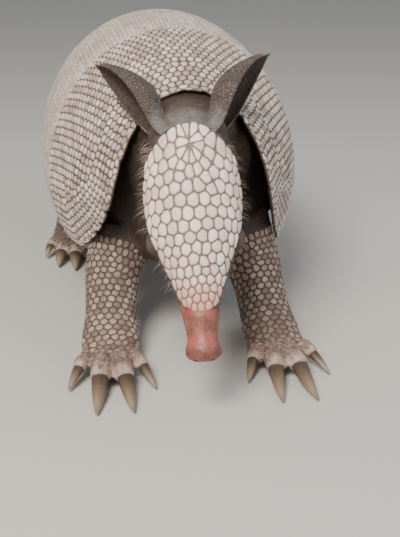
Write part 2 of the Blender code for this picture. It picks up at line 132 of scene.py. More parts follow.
def node(tree, kind, inputs=None, **settings):
    """Add a shader node with its settings and its inputs."""
    made = tree.nodes.new("ShaderNode" + kind)
    for name, value in settings.items():
        setattr(made, name, value)
    fill(made, inputs or {})
    return made


print("mid grey, #808080, is", round(linear("#808080")[0], 3), "in linear light")

# %% Finishing a piece


def finish_piece(piece, slot, *replaced):
    """Say what a finished piece rides on and which solids it stands for. slot is not used."""
    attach(piece, "root")
    if replaced:
        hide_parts(*replaced)
    triangles = sum(len(face.vertices) - 2 for face in piece.data.polygons)
    print(f"{piece.name}: {triangles} triangles")
    return piece


# %% [markdown]
# ## The armadillo's own measures
#
# A shell is a row of cross-sections, and a smooth curve through the rows gives every section
# between them. The same tables shape the solids of the frame, except that the head is a little
# narrower here from the eyes to the nose. They are in millimetres, from the middle of the body, and
# one shift brings them into the frame. It is checked on an eye, whose place both sides know.

# %% The shell's measures
# The shell, from the nape (0) to the tail root (1):
# along, centre y, centre z, lean back, half width, height above, depth below, edge angle
SHELL_SECTIONS = (
    (-0.10, -111, 77, -12, 42, 60, 64, 112),
    (0.00, -91, 79, -9, 51, 66, 68, 115),
    (0.12, -63, 81, -6, 65, 78, 72, 117),
    (0.25, -27, 82, -3, 75, 88, 75, 118),
    (0.42, 24, 82, 2, 80, 93, 75, 118),
    (0.58, 72, 81, 9, 81, 92, 75, 118),
    (0.72, 104, 80, 18, 78, 84, 73, 117),
    (0.84, 129, 77, 34, 70, 72, 66, 112),
    (0.93, 144, 74, 53, 57, 58, 50, 108),
    (1.00, 154, 72, 71, 44, 46, 35, 100),
)
SCAPULAR_REAR = 0.25
PELVIC_FRONT = 0.58
BAND_COUNT = 9
LOBE_REACH = 0.085  # the shoulder lobes reach forward beside the head
LOBE_PLACE = 0.65
CORNER_CUT = 0.20  # the lower front corner is rounded back
CORNER_START = 0.66
CORNER_POWER = 2.2
print("the shell has", BAND_COUNT, "bands between", SCAPULAR_REAR, "and", PELVIC_FRONT, "of its length")

# %% The head's measures
# The head: forward from the crown, half width, height above the axis, depth below it
HEAD_SECTIONS = (
    (-14, 18.5, 14.0, 25.0),
    (-4, 20.4, 17.0, 26.0),
    (6, 22.2, 19.6, 25.6),
    (16, 23.6, 20.3, 24.5),
    (30, 24.4, 19.8, 22.5),
    (46, 22.6, 17.6, 19.5),
    (60, 17.3, 14.4, 15.4),
    (74, 11.9, 11.4, 11.6),
    (86, 8.9, 9.2, 9.0),
    (97, 8.0, 8.2, 7.8),
    (102.5, 7.9, 7.6, 7.0),
    (105, 6.6, 6.0, 5.4),
)
HEAD_PITCH = 58  # degrees that the face slopes below the horizontal
HEAD_YAW = 8  # degrees that it turns to the animal's right
HEAD_ROLL = 4  # degrees that the nose swings to the animal's left
HEAD_AXIS = Vector((0, -127, 122))
NAPE_START = 14  # the head's axis is straight beyond here, and bends behind it
NAPE_BEND = 1.6  # degrees for each millimetre of the bend
NECK_PIVOT = Vector((0, -98, 106))
SHIELD_REAR = 1
SHIELD_FRONT = 85
# forward from the crown, angle from the top of the head to the shield's edge
SHIELD_ANGLES = ((1, 60), (9, 72), (24, 80), (50, 78), (70, 76), (85, 69))
SHIELD_REAR_CURVE = 12
SHIELD_REAR_POWER = 2.2
SHIELD_FRONT_CURVE = 5
EYE_PLACE = (49, 96)  # distance from the crown, angle down from the top of the head
EYE_DEPTH = 2.7
EYE_RADIUS = 4.0
print("the head is", 2 * max(row[1] for row in HEAD_SECTIONS), "mm wide")

# %% The tail's measures
# The tail: x, y, z of its middle and its radius
TAIL = (
    (0, 180, 66, 20.0),
    (0, 205, 55, 18.2),
    (-1, 240, 38.5, 15.6),
    (-4, 280, 22, 12.8),
    (-9, 322, 11.8, 10.3),
    (-13, 366, 7.8, 8.1),
    (-12, 415, 5.7, 6.0),
    (-5, 465, 3.7, 4.0),
    (4, 510, 2.0, 2.3),
)
TAIL_RINGS = 12
TAIL_RINGS_END = 0.58  # where the rings stop, as a share of its length
TAIL_LENGTH = sum((Vector(b[:3]) - Vector(a[:3])).length for a, b in zip(TAIL, TAIL[1:]))
print("the tail is", round(TAIL_LENGTH), "mm long")

# %% A smooth curve through a table's rows


def smooth_row(table, position):
    """The row of a table at a position, on a smooth curve through the table's rows."""
    last = len(table) - 1
    index = 0
    while index < last - 1 and position > table[index + 1][0]:
        index += 1
    start, end = table[index], table[index + 1]
    span = end[0] - start[0]
    t = min(1, max(0, (position - start[0]) / span))
    row = []
    for column in range(1, len(start)):
        def slope(i):
            low, high = max(0, i - 1), min(last, i + 1)
            return (table[high][column] - table[low][column]) / (table[high][0] - table[low][0])
        rise = end[column] - start[column]
        m0, m1 = slope(index) * span, slope(index + 1) * span
        row.append(start[column] + m0 * t + (3 * rise - 2 * m0 - m1) * t ** 2
                   + (m0 + m1 - 2 * rise) * t ** 3)
    return row


print("half the shell's width at its middle:", round(smooth_row(SHELL_SECTIONS, 0.5)[3], 1), "mm")

# %% Points on the shell


def shell_point(along, angle, lift):
    """A point on the shell, at an angle in radians from the top of the back."""
    y, z, lean, width, height, skirt, _ = smooth_row(SHELL_SECTIONS, along)
    lean = radians(lean)
    rise = (height + lift if cos(angle) > 0 else skirt + lift) * cos(angle)
    return Vector(((width + lift) * sin(angle),
                   y + rise * sin(lean),
                   z + rise * cos(lean)))


def shell_angle(along, across):
    """The angle from the top of the back; across runs from 0 (right edge) to 1 (left edge)."""
    edge = smooth_row(SHELL_SECTIONS, along)[6]
    return radians(edge * (2 * across - 1))


def scapular_front(across):
    """Where the front margin of the shoulder shield lies."""
    out = abs(2 * across - 1)
    front = LOBE_REACH * (cos(pi * min(1, out / LOBE_PLACE)) - 1) / 2
    return front + CORNER_CUT * max(0, (out - CORNER_START) / (1 - CORNER_START)) ** CORNER_POWER


print("the top of the back:", [round(value) for value in shell_point(0.5, 0, 0)], "mm")

# %% Points on the head


def head_place(forward, side, above):
    """A point from the head's own axes: towards the nose, to its left, above its axis."""
    pitch = radians(HEAD_PITCH)
    straight = max(forward, NAPE_START)
    place = HEAD_AXIS + Vector((0, -cos(pitch), -sin(pitch))) * straight
    if forward < NAPE_START:
        rate = radians(NAPE_BEND)
        nape = pitch - rate * (NAPE_START - forward)
        place.y += (sin(pitch) - sin(nape)) / rate
        place.z += (cos(nape) - cos(pitch)) / rate
        pitch = nape
    up = Vector((0, -sin(pitch), cos(pitch)))
    face = Vector((0, -sin(radians(HEAD_PITCH)), cos(radians(HEAD_PITCH))))
    turn = Matrix.Rotation(radians(-HEAD_YAW), 3, "Z")
    roll = Matrix.Rotation(radians(HEAD_ROLL), 3, face)
    return NECK_PIVOT + turn @ (roll @ (place + Vector((side, 0, 0)) + up * above - NECK_PIVOT))


def head_point(forward, angle, lift):
    """A point on the head, at an angle in radians from the top of the skull."""
    width, top, bottom = smooth_row(HEAD_SECTIONS, forward)
    above = (top if cos(angle) > 0 else bottom) + lift
    return head_place(forward, (width + lift) * sin(angle), above * cos(angle))


print("the tip of the nose:", [round(value) for value in head_place(105, 0, 0)], "mm")

# %% Points on the tail
SLOPE_STEP = 0.02  # how far ahead and behind a slope is taken, as a share of the length


def by_length(points):
    """Rows of (share of the length, x, y, z, ...) from rows of (x, y, z, ...)."""
    lengths = [0]
    for before, after in zip(points, points[1:]):
        lengths.append(lengths[-1] + (Vector(after[:3]) - Vector(before[:3])).length)
    return [(length / lengths[-1],) + tuple(row) for length, row in zip(lengths, points)]


TAIL_BY_LENGTH = by_length(TAIL)


def tail_point(share, angle, lift):
    """A point on the tail, at an angle in radians round its middle line."""
    x, y, z, radius = smooth_row(TAIL_BY_LENGTH, share)
    ahead = Vector(smooth_row(TAIL_BY_LENGTH, min(1, share + SLOPE_STEP))[:3])
    behind = Vector(smooth_row(TAIL_BY_LENGTH, max(0, share - SLOPE_STEP))[:3])
    run = (ahead - behind).normalized()
    across = Vector((0, 0, 1)).cross(run).normalized()
    radius += lift
    return Vector((x, y, z)) + (across * cos(angle) + run.cross(across) * sin(angle)) * radius


# %% From the tables to the frame
SHIFT = Vector((0, -161.3, 0)) * MM  # from the tables' origin to the frame's


def spot(point):
    """A point of the tables, in millimetres, as a place in the frame, in metres."""
    return point * MM + SHIFT


eye_low, eye_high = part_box("eye_left")
eye_place = spot(head_point(EYE_PLACE[0], radians(EYE_PLACE[1]), -EYE_DEPTH))
print("the left eye is within", round(((eye_low + eye_high) / 2 - eye_place).length / MM, 2),
      "mm of its place in the tables")

# %% [markdown]
# ## Scutes
#
# An armadillo's shell is bone under a thin layer of horn, and the horn is parted into small plates,
# the scutes. They are many-sided because each grows until it meets its neighbours. So each scute
# is worked out that way: a seed is placed where it grows from, and its outline is the ground that
# is nearer to this seed than to any other. Seeds outside a margin, each the mirror image of one
# inside, make the outermost scutes end on that margin. Moving each seed to the middle of its
# scute and drawing the outlines again makes them more even, as growth does.
#
# Drawing some four thousand outlines is work for a loop. What comes after is done with Blender's
# own tools: the sheet of outlines gets its thickness from Solidify, each face is inset and raised
# into a scute with a groove round it, and Subdivision Surface rounds it all.

# %% Outlines of scutes
NEIGHBOURS = 18  # seeds tried round each seed
CELL_REACH = 1.3  # half the first square of an outline, in spacings
SAME_PLACE = 1e-9
MIRROR_REACH = 1.5  # seeds this many spacings from a margin are mirrored in it


def clipped(polygon, x, y):
    """The part of an outline that is nearer to (0, 0) than to (x, y)."""
    half = (x * x + y * y) / 2
    kept = []
    corner = polygon[-1]
    side = corner[0] * x + corner[1] * y - half
    for following in polygon:
        next_side = following[0] * x + following[1] * y - half
        if (next_side < 0) != (side < 0):
            t = side / (side - next_side)
            kept.append((corner[0] + (following[0] - corner[0]) * t,
                         corner[1] + (following[1] - corner[1]) * t))
        if next_side < 0:
            kept.append(following)
        corner, side = following, next_side
    return kept


def middle_of(polygon):
    """The centre of the area of an outline, and the area."""
    area = x_sum = y_sum = 0
    for (x0, y0), (x1, y1) in zip(polygon, polygon[1:] + polygon[:1]):
        cross = x0 * y1 - x1 * y0
        area += cross / 2
        x_sum += (x0 + x1) * cross / 6
        y_sum += (y0 + y1) * cross / 6
    return x_sum / area, y_sum / area, area


def tree_of(points):
    """A search tree over points, numbered in their order."""
    tree = KDTree(len(points))
    for index, point in enumerate(points):
        tree.insert(point, index)
    tree.balance()
    return tree


def scute_outlines(seeds, margins, spacing, project, rounds):
    """Outlines of the scutes round the seeds, as lists of points on a surface.

    project(point) gives the nearest place on the surface and the direction out of it.
    Each margin is a list of close points, and ends the scutes near it.
    """
    margin_trees = [tree_of(margin) for margin in margins]
    for turn in range(rounds + 1):
        mirrored = []
        for tree in margin_trees:
            for seed in seeds:
                nearest, _, distance = tree.find(seed)
                if distance < MIRROR_REACH * spacing:
                    mirrored.append(nearest * 2 - seed)
        others = seeds + mirrored
        tree = tree_of(others)
        outlines = []
        middles = []
        reach = CELL_REACH * spacing
        for seed in seeds:
            place, normal = project(seed)
            across = normal.orthogonal().normalized()
            ahead = normal.cross(across)
            outline = [(reach, -reach), (reach, reach), (-reach, reach), (-reach, -reach)]
            for other, _, distance in tree.find_n(seed, NEIGHBOURS)[1:]:
                if distance > SAME_PLACE:
                    offset = other - seed
                    outline = clipped(outline, offset.dot(across), offset.dot(ahead))
            x, y, _ = middle_of(outline)
            middles.append(project(place + across * x + ahead * y)[0])
            outlines.append([project(place + across * x + ahead * y)[0] for x, y in outline])
        if turn < rounds:
            seeds = middles
    return outlines


print("a square cut off half way:", clipped([(1, -1), (1, 1), (-1, 1), (-1, -1)], 1, 0))

# %% [markdown]
# Seeds lie on a surface, and so must the outlines. The surface is turned into a fine grid of faces,
# because the nearest place on a mesh is quick to find. Seeds from rows that run together are
# thinned out, and corners that nearly meet are made one, or their grooves would pinch.

# %% A surface to draw on, and room between seeds


def guide(surface, rows, columns):
    """A fine smooth surface to project on. surface(a, b) gives places, a and b run from 0 to 1."""
    points = [surface(i / rows, j / columns) for i in range(rows + 1) for j in range(columns + 1)]
    across = columns + 1
    faces = []
    for i in range(rows):
        for j in range(columns):
            a = i * across + j
            faces.append((a, a + 1, a + across + 1, a + across))
    tree = BVHTree.FromPolygons(points, faces)

    def project(point):
        place, normal, _, _ = tree.find_nearest(point)
        return place, normal
    return project


def spaced(candidates, room):
    """The candidates in turn, leaving out each that is nearer than room to one kept before."""
    kept = np.empty((len(candidates), 3))
    count = 0
    for point in candidates:
        if count == 0 or np.min(np.sum((kept[:count] - point[:]) ** 2, axis=1)) > room * room:
            kept[count] = point
            count += 1
    return [Vector(point) for point in kept[:count]]


def welded(outlines, distance):
    """The outlines with corners that are nearer to each other than a distance made one."""
    corners = [corner for outline in outlines for corner in outline]
    tree = tree_of(corners)
    merged = [None] * len(corners)
    for index, corner in enumerate(corners):
        if merged[index] is None:
            for _, other, _ in tree.find_range(corner, distance):
                if merged[other] is None:
                    merged[other] = corner
    results = []
    start = 0
    for outline in outlines:
        kept = []
        for corner in merged[start:start + len(outline)]:
            if corner not in kept:
                kept.append(corner)
        start += len(outline)
        if len(kept) > 2:
            results.append(kept)
    return results


def running_lengths(line):
    """The length of a line up to each of its points."""
    return np.concatenate([[0], np.cumsum([(b - a).length for a, b in zip(line, line[1:])])])


print("steps of 3 and 4 add up to", running_lengths([Vector((0, 0)), Vector((3, 0)), Vector((3, 4))]))

# %% [markdown]
# A scute is a low pillow. Solidify gives the sheet of outlines its thickness, and each face is then
# inset and lifted twice or three times. Inset's own width throws the corners of a narrow wedge far
# out, so it is left at nearly nothing and the new faces are drawn in towards their middles.

# %% From outlines to a horny plate
LEAST_TOP = 0.5  # a corner is drawn in to no less than this share of its distance
HAIRLINE = 1e-6


def outline_sheet(name, outlines, merge=0.01 * MM):
    """A sheet with one face for each outline, joined where their corners meet."""
    points = []
    faces = []
    for outline in outlines:
        faces.append(tuple(range(len(points), len(points) + len(outline))))
        points += outline
    sheet = new_piece(name, points, faces)
    tone = sheet.data.attributes.new("tone", "FLOAT", "FACE")
    tone.data.foreach_set("value", [RANDOM.random() for _ in faces])
    edit_all(sheet, bpy.ops.mesh.remove_doubles, threshold=merge)
    return sheet


def shrink_faces(mesh, width, height, rounding):
    """Draw each selected face in towards its middle and lift it along its normal."""
    for face in mesh.polygons:
        if face.select:
            middle = face.center.copy()
            rise = face.normal * height
            arms = [mesh.vertices[index].co - middle for index in face.vertices]
            mean = sum(arm.length for arm in arms) / len(arms)
            for index, arm in zip(face.vertices, arms):
                reach = arm.length
                shorter = max(reach * LEAST_TOP, reach - width - rounding * max(0, reach - mean))
                mesh.vertices[index].co = middle + arm * (shorter / reach) + rise


def raise_scutes(sheet, thickness, insets, top, under, rounding=0.0):
    """Turn a sheet of outlines into a closed plate with a raised scute on each outline.

    insets is a list of (width, rise, share), from the groove to the top, in millimetres like
    the thickness. share is kept at the new corners as "rise", which the finish reads. top and
    under are the finishes of the two sides.
    """
    sheet.data.materials.append(top)
    sheet.data.materials.append(under)
    apply_modifier(sheet, "SOLIDIFY", thickness=thickness * MM, offset=-1, material_offset=1,
                   material_offset_rim=1, use_even_offset=False)
    mesh = sheet.data
    mesh.attributes.new("rise", "FLOAT", "POINT")
    bpy.ops.object.mode_set(mode="EDIT")
    bpy.ops.mesh.select_mode(type="FACE")
    bpy.ops.mesh.select_all(action="DESELECT")
    sheet.active_material_index = 0
    bpy.ops.object.material_slot_select()
    for width, height, share in insets:
        bpy.ops.object.mode_set(mode="OBJECT")
        corners = len(mesh.vertices)
        bpy.ops.object.mode_set(mode="EDIT")
        bpy.ops.mesh.inset(thickness=HAIRLINE, use_individual=True)
        bpy.ops.object.mode_set(mode="OBJECT")
        shrink_faces(mesh, width * MM, height * MM, rounding)
        values = np.zeros(len(mesh.vertices), np.float32)
        mesh.attributes["rise"].data.foreach_get("value", values)
        values[corners:] = share
        mesh.attributes["rise"].data.foreach_set("value", values)
        bpy.ops.object.mode_set(mode="EDIT")
    bpy.ops.object.mode_set(mode="OBJECT")
    apply_modifier(sheet, "SUBSURF", levels=1, render_levels=1)
    sheet.data.shade_smooth()
    return sheet


print("a groove is drawn in by at most", 1 - LEAST_TOP, "of the way to the middle")

# %% [markdown]
# ## Horn
#
# The scutes are keratin, the stuff of nails, laid down on bone. It is pale and slightly waxy on
# top, where it is rubbed clean, and brown in the grooves, where soil stays; the darkening down each
# scute's sides towards the groove is painted shade. The finish reads how high each place lies in its
# scute, so the grooves and this painted shade darken wherever the geometry has them, and a
# second number, one for each scute, makes neighbours differ a little.

# %% Keratin over bone


def keratin(name, top, shade, groove, stain, gloss, evenness=0.5):
    """Horn with dark grooves; their colour runs up the scutes' sides as painted shade.
    The colours are the pale top, its shaded side, the groove and soil.

    evenness says how little one scute differs from the next: 0 is most, 1 not at all.
    """
    made, tree, shader = new_material(name)
    place = node(tree, "TexCoord").outputs["Object"]
    rise = node(tree, "Attribute", attribute_name="rise").outputs["Fac"]
    tone = node(tree, "Attribute", attribute_name="tone").outputs["Fac"]
    # mottling of about 3 mm in each scute, on top of the difference between scutes
    mottle = node(tree, "TexNoise", {"Vector": place, "Scale": 330, "Detail": 4,
                                     "Roughness": 0.65}).outputs["Fac"]
    both = node(tree, "Mix", {0: evenness, 2: tone, 3: mottle}).outputs[0]
    spread = node(tree, "MapRange", {"Value": both, "From Min": 0.3, "From Max": 0.72})
    body = node(tree, "Mix", {0: spread.outputs[0], 6: linear(shade), 7: linear(top)},
                data_type="RGBA").outputs[2]
    # soil in patches of some 25 mm
    patches = node(tree, "TexNoise", {"Vector": place, "Scale": 40, "Detail": 5,
                                      "Roughness": 0.6}).outputs["Fac"]
    soiled = node(tree, "MapRange", {"Value": patches, "From Min": 0.45,
                                     "From Max": 0.75, "To Max": 0.55})
    body = node(tree, "Mix", {0: soiled.outputs[0], 6: body, 7: linear(stain)},
                data_type="RGBA").outputs[2]
    # the soil in the grooves, and the painted shade down the scutes' sides, have a ragged edge
    ragged = node(tree, "TexNoise", {"Vector": place, "Scale": 1100, "Detail": 4,
                                     "Roughness": 0.7}).outputs["Fac"]
    edge = node(tree, "MapRange", {"Value": ragged, "From Min": 0.3, "From Max": 0.7,
                                   "To Min": -0.3, "To Max": 0.3}).outputs[0]
    # 1 on the scutes' tops and 0 in the grooves: soil lies in the grooves, and the darkening down the
    # sloping sides is painted shade
    rubbed_and_lit = node(tree, "Math", {0: rise, 1: edge}).outputs[0]
    clean_and_lit = node(tree, "MapRange", {"Value": rubbed_and_lit, "From Min": 0.1, "From Max": 0.85},
                 interpolation_type="SMOOTHSTEP").outputs[0]
    blush = node(tree, "Attribute", attribute_name="blush").outputs["Fac"]
    # blush says how pink the horn is, by the snout
    body = node(tree, "Mix", {0: blush, 6: body, 7: linear("#c99684")},
                data_type="RGBA").outputs[2]
    soil = node(tree, "Mix", {0: blush, 6: linear(groove), 7: linear("#9c6a5c")},
                data_type="RGBA").outputs[2]
    colour = node(tree, "Mix", {0: clean_and_lit, 6: soil, 7: body}, data_type="RGBA").outputs[2]
    # pits of about half a millimetre, darker and sunk
    pits = node(tree, "TexVoronoi", {"Vector": place, "Scale": 900}).outputs["Distance"]
    pitted = node(tree, "MapRange", {"Value": pits, "From Min": 0.08, "From Max": 0.28,
                                     "To Min": 0.72}).outputs[0]
    colour = node(tree, "Mix", {0: 1.0, 6: colour, 7: pitted}, data_type="RGBA",
                  blend_type="MULTIPLY").outputs[2]
    grain = node(tree, "TexNoise", {"Vector": place, "Scale": 1500, "Detail": 3})
    height = node(tree, "Math", {0: pitted, 1: grain.outputs["Fac"]}).outputs[0]
    bump = node(tree, "Bump", {"Height": height, "Strength": 0.35, "Distance": 0.0002})
    rough = node(tree, "MapRange", {"Value": mottle, "To Min": gloss - 0.1,
                                    "To Max": gloss + 0.15}).outputs[0]
    fill(shader, {"Base Color": colour, "Roughness": rough, "Normal": bump.outputs[0], "IOR": 1.54})
    return made


SHELL_HORN = keratin("horn of the shell", "#dacdc4", "#a3958c", "#4f423a", "#8d7f76", 0.5)
HEAD_HORN = keratin("horn of the head shield", "#f8e6de", "#d8c2b9", "#695750", "#c0ada5", 0.45)
BAND_HORN = keratin("horn of the bands", "#d8cbc3", "#ab9d95", "#4f433b", "#8d7f76", 0.5, 0.8)
UNDER_HORN = keratin("leathery underside of the shell", "#4a3226", "#38251c", "#38251c", "#2e1e17",
                     0.6)
print("horn:", [horn.name for horn in (SHELL_HORN, HEAD_HORN, BAND_HORN, UNDER_HORN)])

# %% [markdown]
# ## The shoulder and hip shields
#
# The shoulder shield hangs over the animal like a cape. Its front margin has a row of larger
# scutes, and the rows behind follow that margin at first and then run straight across the back.
# The hip shield has straight rows throughout. Rows are lines on the shield along which seeds are
# set at even steps, each row half a step aside from the one before.

# %% Rows of seeds
GROOVE_DEPTH = 0.9  # the outlines lie this far inside the shell's true surface, in mm
JITTER = 0.25 * MM  # how far a seed may stray from its row
END_ROOM = 0.3  # a row starts and ends at least this share of a spacing inside


def shield_guide(front, rear, rows, columns):
    """The surface of a shield; front(across) and rear(across) give where it starts and ends."""
    def surface(a, b):
        along = front(b) + (rear(b) - front(b)) * a
        return spot(shell_point(along, shell_angle(along, b), -GROOVE_DEPTH))
    return guide(surface, rows, columns)


def shell_line(along_at, points):
    """A line across the shell from its right edge to its left; along_at(across) says where."""
    line = []
    for step in range(points + 1):
        along = along_at(step / points)
        line.append(spot(shell_point(along, shell_angle(along, step / points), -GROOVE_DEPTH)))
    return line


def shell_edge(across, start, end, points):
    """A line along one lower edge of the shell."""
    stops = [start + (end - start) * step / points for step in range(points + 1)]
    return [spot(shell_point(along, shell_angle(along, across), -GROOVE_DEPTH))
            for along in stops]


def inward(line, project, distance):
    """The line moved square to itself into the shield, by a distance."""
    moved = []
    for index, point in enumerate(line):
        run = line[min(index + 1, len(line) - 1)] - line[max(index - 1, 0)]
        out = project(point)[1]
        moved.append(project(point + out.cross(run).normalized() * distance)[0])
    return moved


def along_line(line, spacing, shift):
    """Points at even steps along a line, counted from its middle. shift is in steps."""
    lengths = running_lengths(line)
    half = lengths[-1] / 2
    count = int(half / spacing) + 1
    stops = [half + (step + shift) * spacing for step in range(-count, count + 1)]
    places = np.array([point[:] for point in line])
    return [Vector([np.interp(stop, lengths, places[:, axis]) for axis in range(3)])
            for stop in stops if spacing * END_ROOM < stop < lengths[-1] - spacing * END_ROOM]


def jittered(points):
    """The points, each strayed a little."""
    return [point + Vector([RANDOM.uniform(-JITTER, JITTER) for _ in range(3)]) for point in points]


print("a seed strays by up to", JITTER / MM, "mm each way")

# %% [markdown]
# The shoulder shield's seeds start at its front margin: one row of larger scutes, then rows at an
# even distance from the margin, and then rows straight across. Where two rows run together, the
# seed that comes later is left out, so the rows of the margin win.

# %% The shoulder shield
SCAPULAR_SPACING = 4.4 * MM
MARGIN_SPACING = 5.4 * MM
SCAPULAR_WELD = 0.5 * MM  # corners nearer than this are made one
SCUTE_ROOM = 0.76  # seeds nearer than this share of the spacing are left out
ROW_PITCH = 0.9  # distance between rows, as a share of the spacing
FRONT_ROWS = 5
STRAIGHT_ROWS = 40  # as many as the middle of the shield could take
SHELL_LENGTH = 290  # over its curve, in millimetres
GUIDE_COLUMNS = 150
MARGIN_POINTS = 500
SHIELD_ROUNDING = 0.3
SHIELD_THICK = 1.5
SCAPULAR_INSETS = [(0.45, 0.5, 0.6), (0.6, 0.4, 1)]


def scapular_rear(_):
    """Where the rear margin lies: straight across the back."""
    return SCAPULAR_REAR


def scapular_shield():
    """The shoulder shield, scute by scute."""
    project = shield_guide(scapular_front, scapular_rear, 50, GUIDE_COLUMNS)
    front = shell_line(scapular_front, MARGIN_POINTS)
    rear = shell_line(scapular_rear, MARGIN_POINTS)
    left = shell_edge(1, scapular_front(1), SCAPULAR_REAR, 80)
    right = shell_edge(0, scapular_front(0), SCAPULAR_REAR, 80)
    pitch = SCAPULAR_SPACING * ROW_PITCH
    seeds = along_line(inward(front, project, MARGIN_SPACING / 2), MARGIN_SPACING, 0.5)
    for row in range(FRONT_ROWS):
        line = inward(front, project, MARGIN_SPACING + pitch * (row + 0.5))
        seeds += along_line(line, SCAPULAR_SPACING, row % 2 / 2)
    for row in range(STRAIGHT_ROWS):
        along = SCAPULAR_REAR - (row + 0.5) * pitch / MM / SHELL_LENGTH
        line = shell_line(lambda across: max(along, scapular_front(across)), 200)
        seeds += along_line(line, SCAPULAR_SPACING, row % 2 / 2)
    seeds = spaced([project(seed)[0] for seed in seeds], SCAPULAR_SPACING * SCUTE_ROOM)
    seeds = jittered(seeds)
    outlines = scute_outlines(seeds, [front, rear, left, right], SCAPULAR_SPACING, project, 3)
    sheet = outline_sheet("scapular_scutes", welded(outlines, SCAPULAR_WELD))
    raise_scutes(sheet, SHIELD_THICK, SCAPULAR_INSETS, SHELL_HORN, UNDER_HORN, SHIELD_ROUNDING)
    return finish_piece(sheet, "shell", "scapular_shield")


scapular_shield()

# %% [markdown]
# The hip shield is made the same way, with straight rows. Its scutes are a little larger, and its
# front margin dips under the last of the movable bands. The shield narrows to the root of the tail,
# so rows would crowd there: a seed that would stand too close to one before it is left out.

# %% The hip shield
PELVIC_SPACING = 5.2 * MM
TUCK_DEPTH = 2.9  # how deep, in millimetres, a front margin goes under its neighbour
TUCK_REACH = 0.012  # and how far, as a share of the shell's length
TUCK_SLOPE = 0.016  # over which it comes up again
HIP_TUCK_SLOPE = 0.024
PELVIC_WELD = 0.7 * MM
PELVIC_INSETS = [(0.5, 0.5, 0.6), (0.75, 0.4, 1)]
PELVIC_STEPS = 150  # of a line along the shield
FLANK = 0.3  # the rows are counted along this share of the way round


def ease(value):
    """A smooth step from 0 to 1."""
    value = min(1, max(0, value))
    return value * value * (3 - 2 * value)


def tucked_lift(past_front, slope=TUCK_SLOPE):
    """The depth of the outlines behind a front margin that dips under its neighbour."""
    return -TUCK_DEPTH + (TUCK_DEPTH - GROOVE_DEPTH) * ease(past_front / slope)


def pelvic_place(along, across):
    """A place on the hip shield, on the level of its outlines."""
    lift = tucked_lift(along - (PELVIC_FRONT - TUCK_REACH), HIP_TUCK_SLOPE)
    return spot(shell_point(along, shell_angle(along, across), lift))


def pelvic_shield():
    """The hip shield, scute by scute."""
    start = PELVIC_FRONT - TUCK_REACH
    project = guide(lambda a, b: pelvic_place(start + (1 - start) * a, b), 90, GUIDE_COLUMNS)

    def line_at(along, points=300):
        return [pelvic_place(along, step / points) for step in range(points + 1)]

    def edge_at(across):
        return [pelvic_place(start + (1 - start) * step / PELVIC_STEPS, across)
                for step in range(PELVIC_STEPS + 1)]

    lengths = running_lengths(edge_at(FLANK))
    rows = int(lengths[-1] / (PELVIC_SPACING * ROW_PITCH))
    seeds = []
    for row in range(rows):
        step = np.interp((row + 0.5) * lengths[-1] / rows, lengths, range(len(lengths)))
        along = start + (1 - start) * step / PELVIC_STEPS
        seeds += along_line(line_at(along), PELVIC_SPACING, row % 2 / 2)
    seeds = jittered(spaced(seeds, PELVIC_SPACING * SCUTE_ROOM))
    margins = [line_at(start), line_at(1), edge_at(0), edge_at(1)]
    outlines = scute_outlines(seeds, margins, PELVIC_SPACING, project, 2)
    sheet = outline_sheet("pelvic_scutes", welded(outlines, PELVIC_WELD))
    raise_scutes(sheet, SHIELD_THICK, PELVIC_INSETS, SHELL_HORN, UNDER_HORN, SHIELD_ROUNDING)
    return finish_piece(sheet, "shell", "pelvic_shield")


pelvic_shield()

# %% [markdown]
# ## The nine movable bands
#
# Each band overlaps the next like a roof tile, so its front margin lies under the one before it.
# Its scutes are not round but long wedges, broad end and narrow end by turns, which lets the bone
# rings stay stiff sideways. Their corners follow a simple rule, so no seeds are needed.

# %% Bands
BAND_SCUTES = 62
BAND_REACH_BACK = 0.003  # how far a band reaches over the next one
BAND_STOPS = (0, 0.36, 0.68, 1)
BAND_THICK = 1.1
BAND_INSETS = [(0.3, 0.4, 0.6), (0.32, 0.3, 1)]
WEDGE_FRONT = 0.24  # width of a wedge at the front and at the rear, as shares of the step
WEDGE_REAR = 0.80


def band(index):
    """One band, counted from the shoulder shield."""
    pitch = (PELVIC_FRONT - SCAPULAR_REAR) / BAND_COUNT
    start = SCAPULAR_REAR + index * pitch - TUCK_REACH
    end = SCAPULAR_REAR + (index + 1) * pitch + BAND_REACH_BACK

    def corner(a, across):
        along = start + (end - start) * a
        return spot(shell_point(along, shell_angle(along, across), tucked_lift(along - start)))

    def border(step, side):
        """A border between two wedges, from front to rear."""
        line = []
        for a in BAND_STOPS:
            half = (WEDGE_FRONT + (WEDGE_REAR - WEDGE_FRONT) * a) / 2
            across = (step + 0.5 + half * side) / BAND_SCUTES
            line.append(corner(a, min(1, max(0, across))))
        return line

    borders = [[corner(a, 0) for a in BAND_STOPS]]
    for step in range(BAND_SCUTES):
        borders += [border(step, -1), border(step, 1)]
    borders.append([corner(a, 1) for a in BAND_STOPS])
    outlines = [right + left[::-1] for left, right in zip(borders, borders[1:])]
    sheet = outline_sheet(f"band_scutes_{index + 1}", outlines)
    raise_scutes(sheet, BAND_THICK, BAND_INSETS, BAND_HORN, UNDER_HORN)
    return finish_piece(sheet, "shell", f"band_{index + 1}")


for index in range(BAND_COUNT):
    band(index)

# %% [markdown]
# ## The head shield
#
# The shield on the forehead has about 130 larger scutes, longer than wide, smaller towards the
# snout. On the crown they stand in a whorl: narrow wedges round one point. All this is laid out
# flat first, as a pattern on paper would be, and then wrapped on the head. In the flat pattern the
# direction along the head is shortened, so that even scutes there come out long on the head.

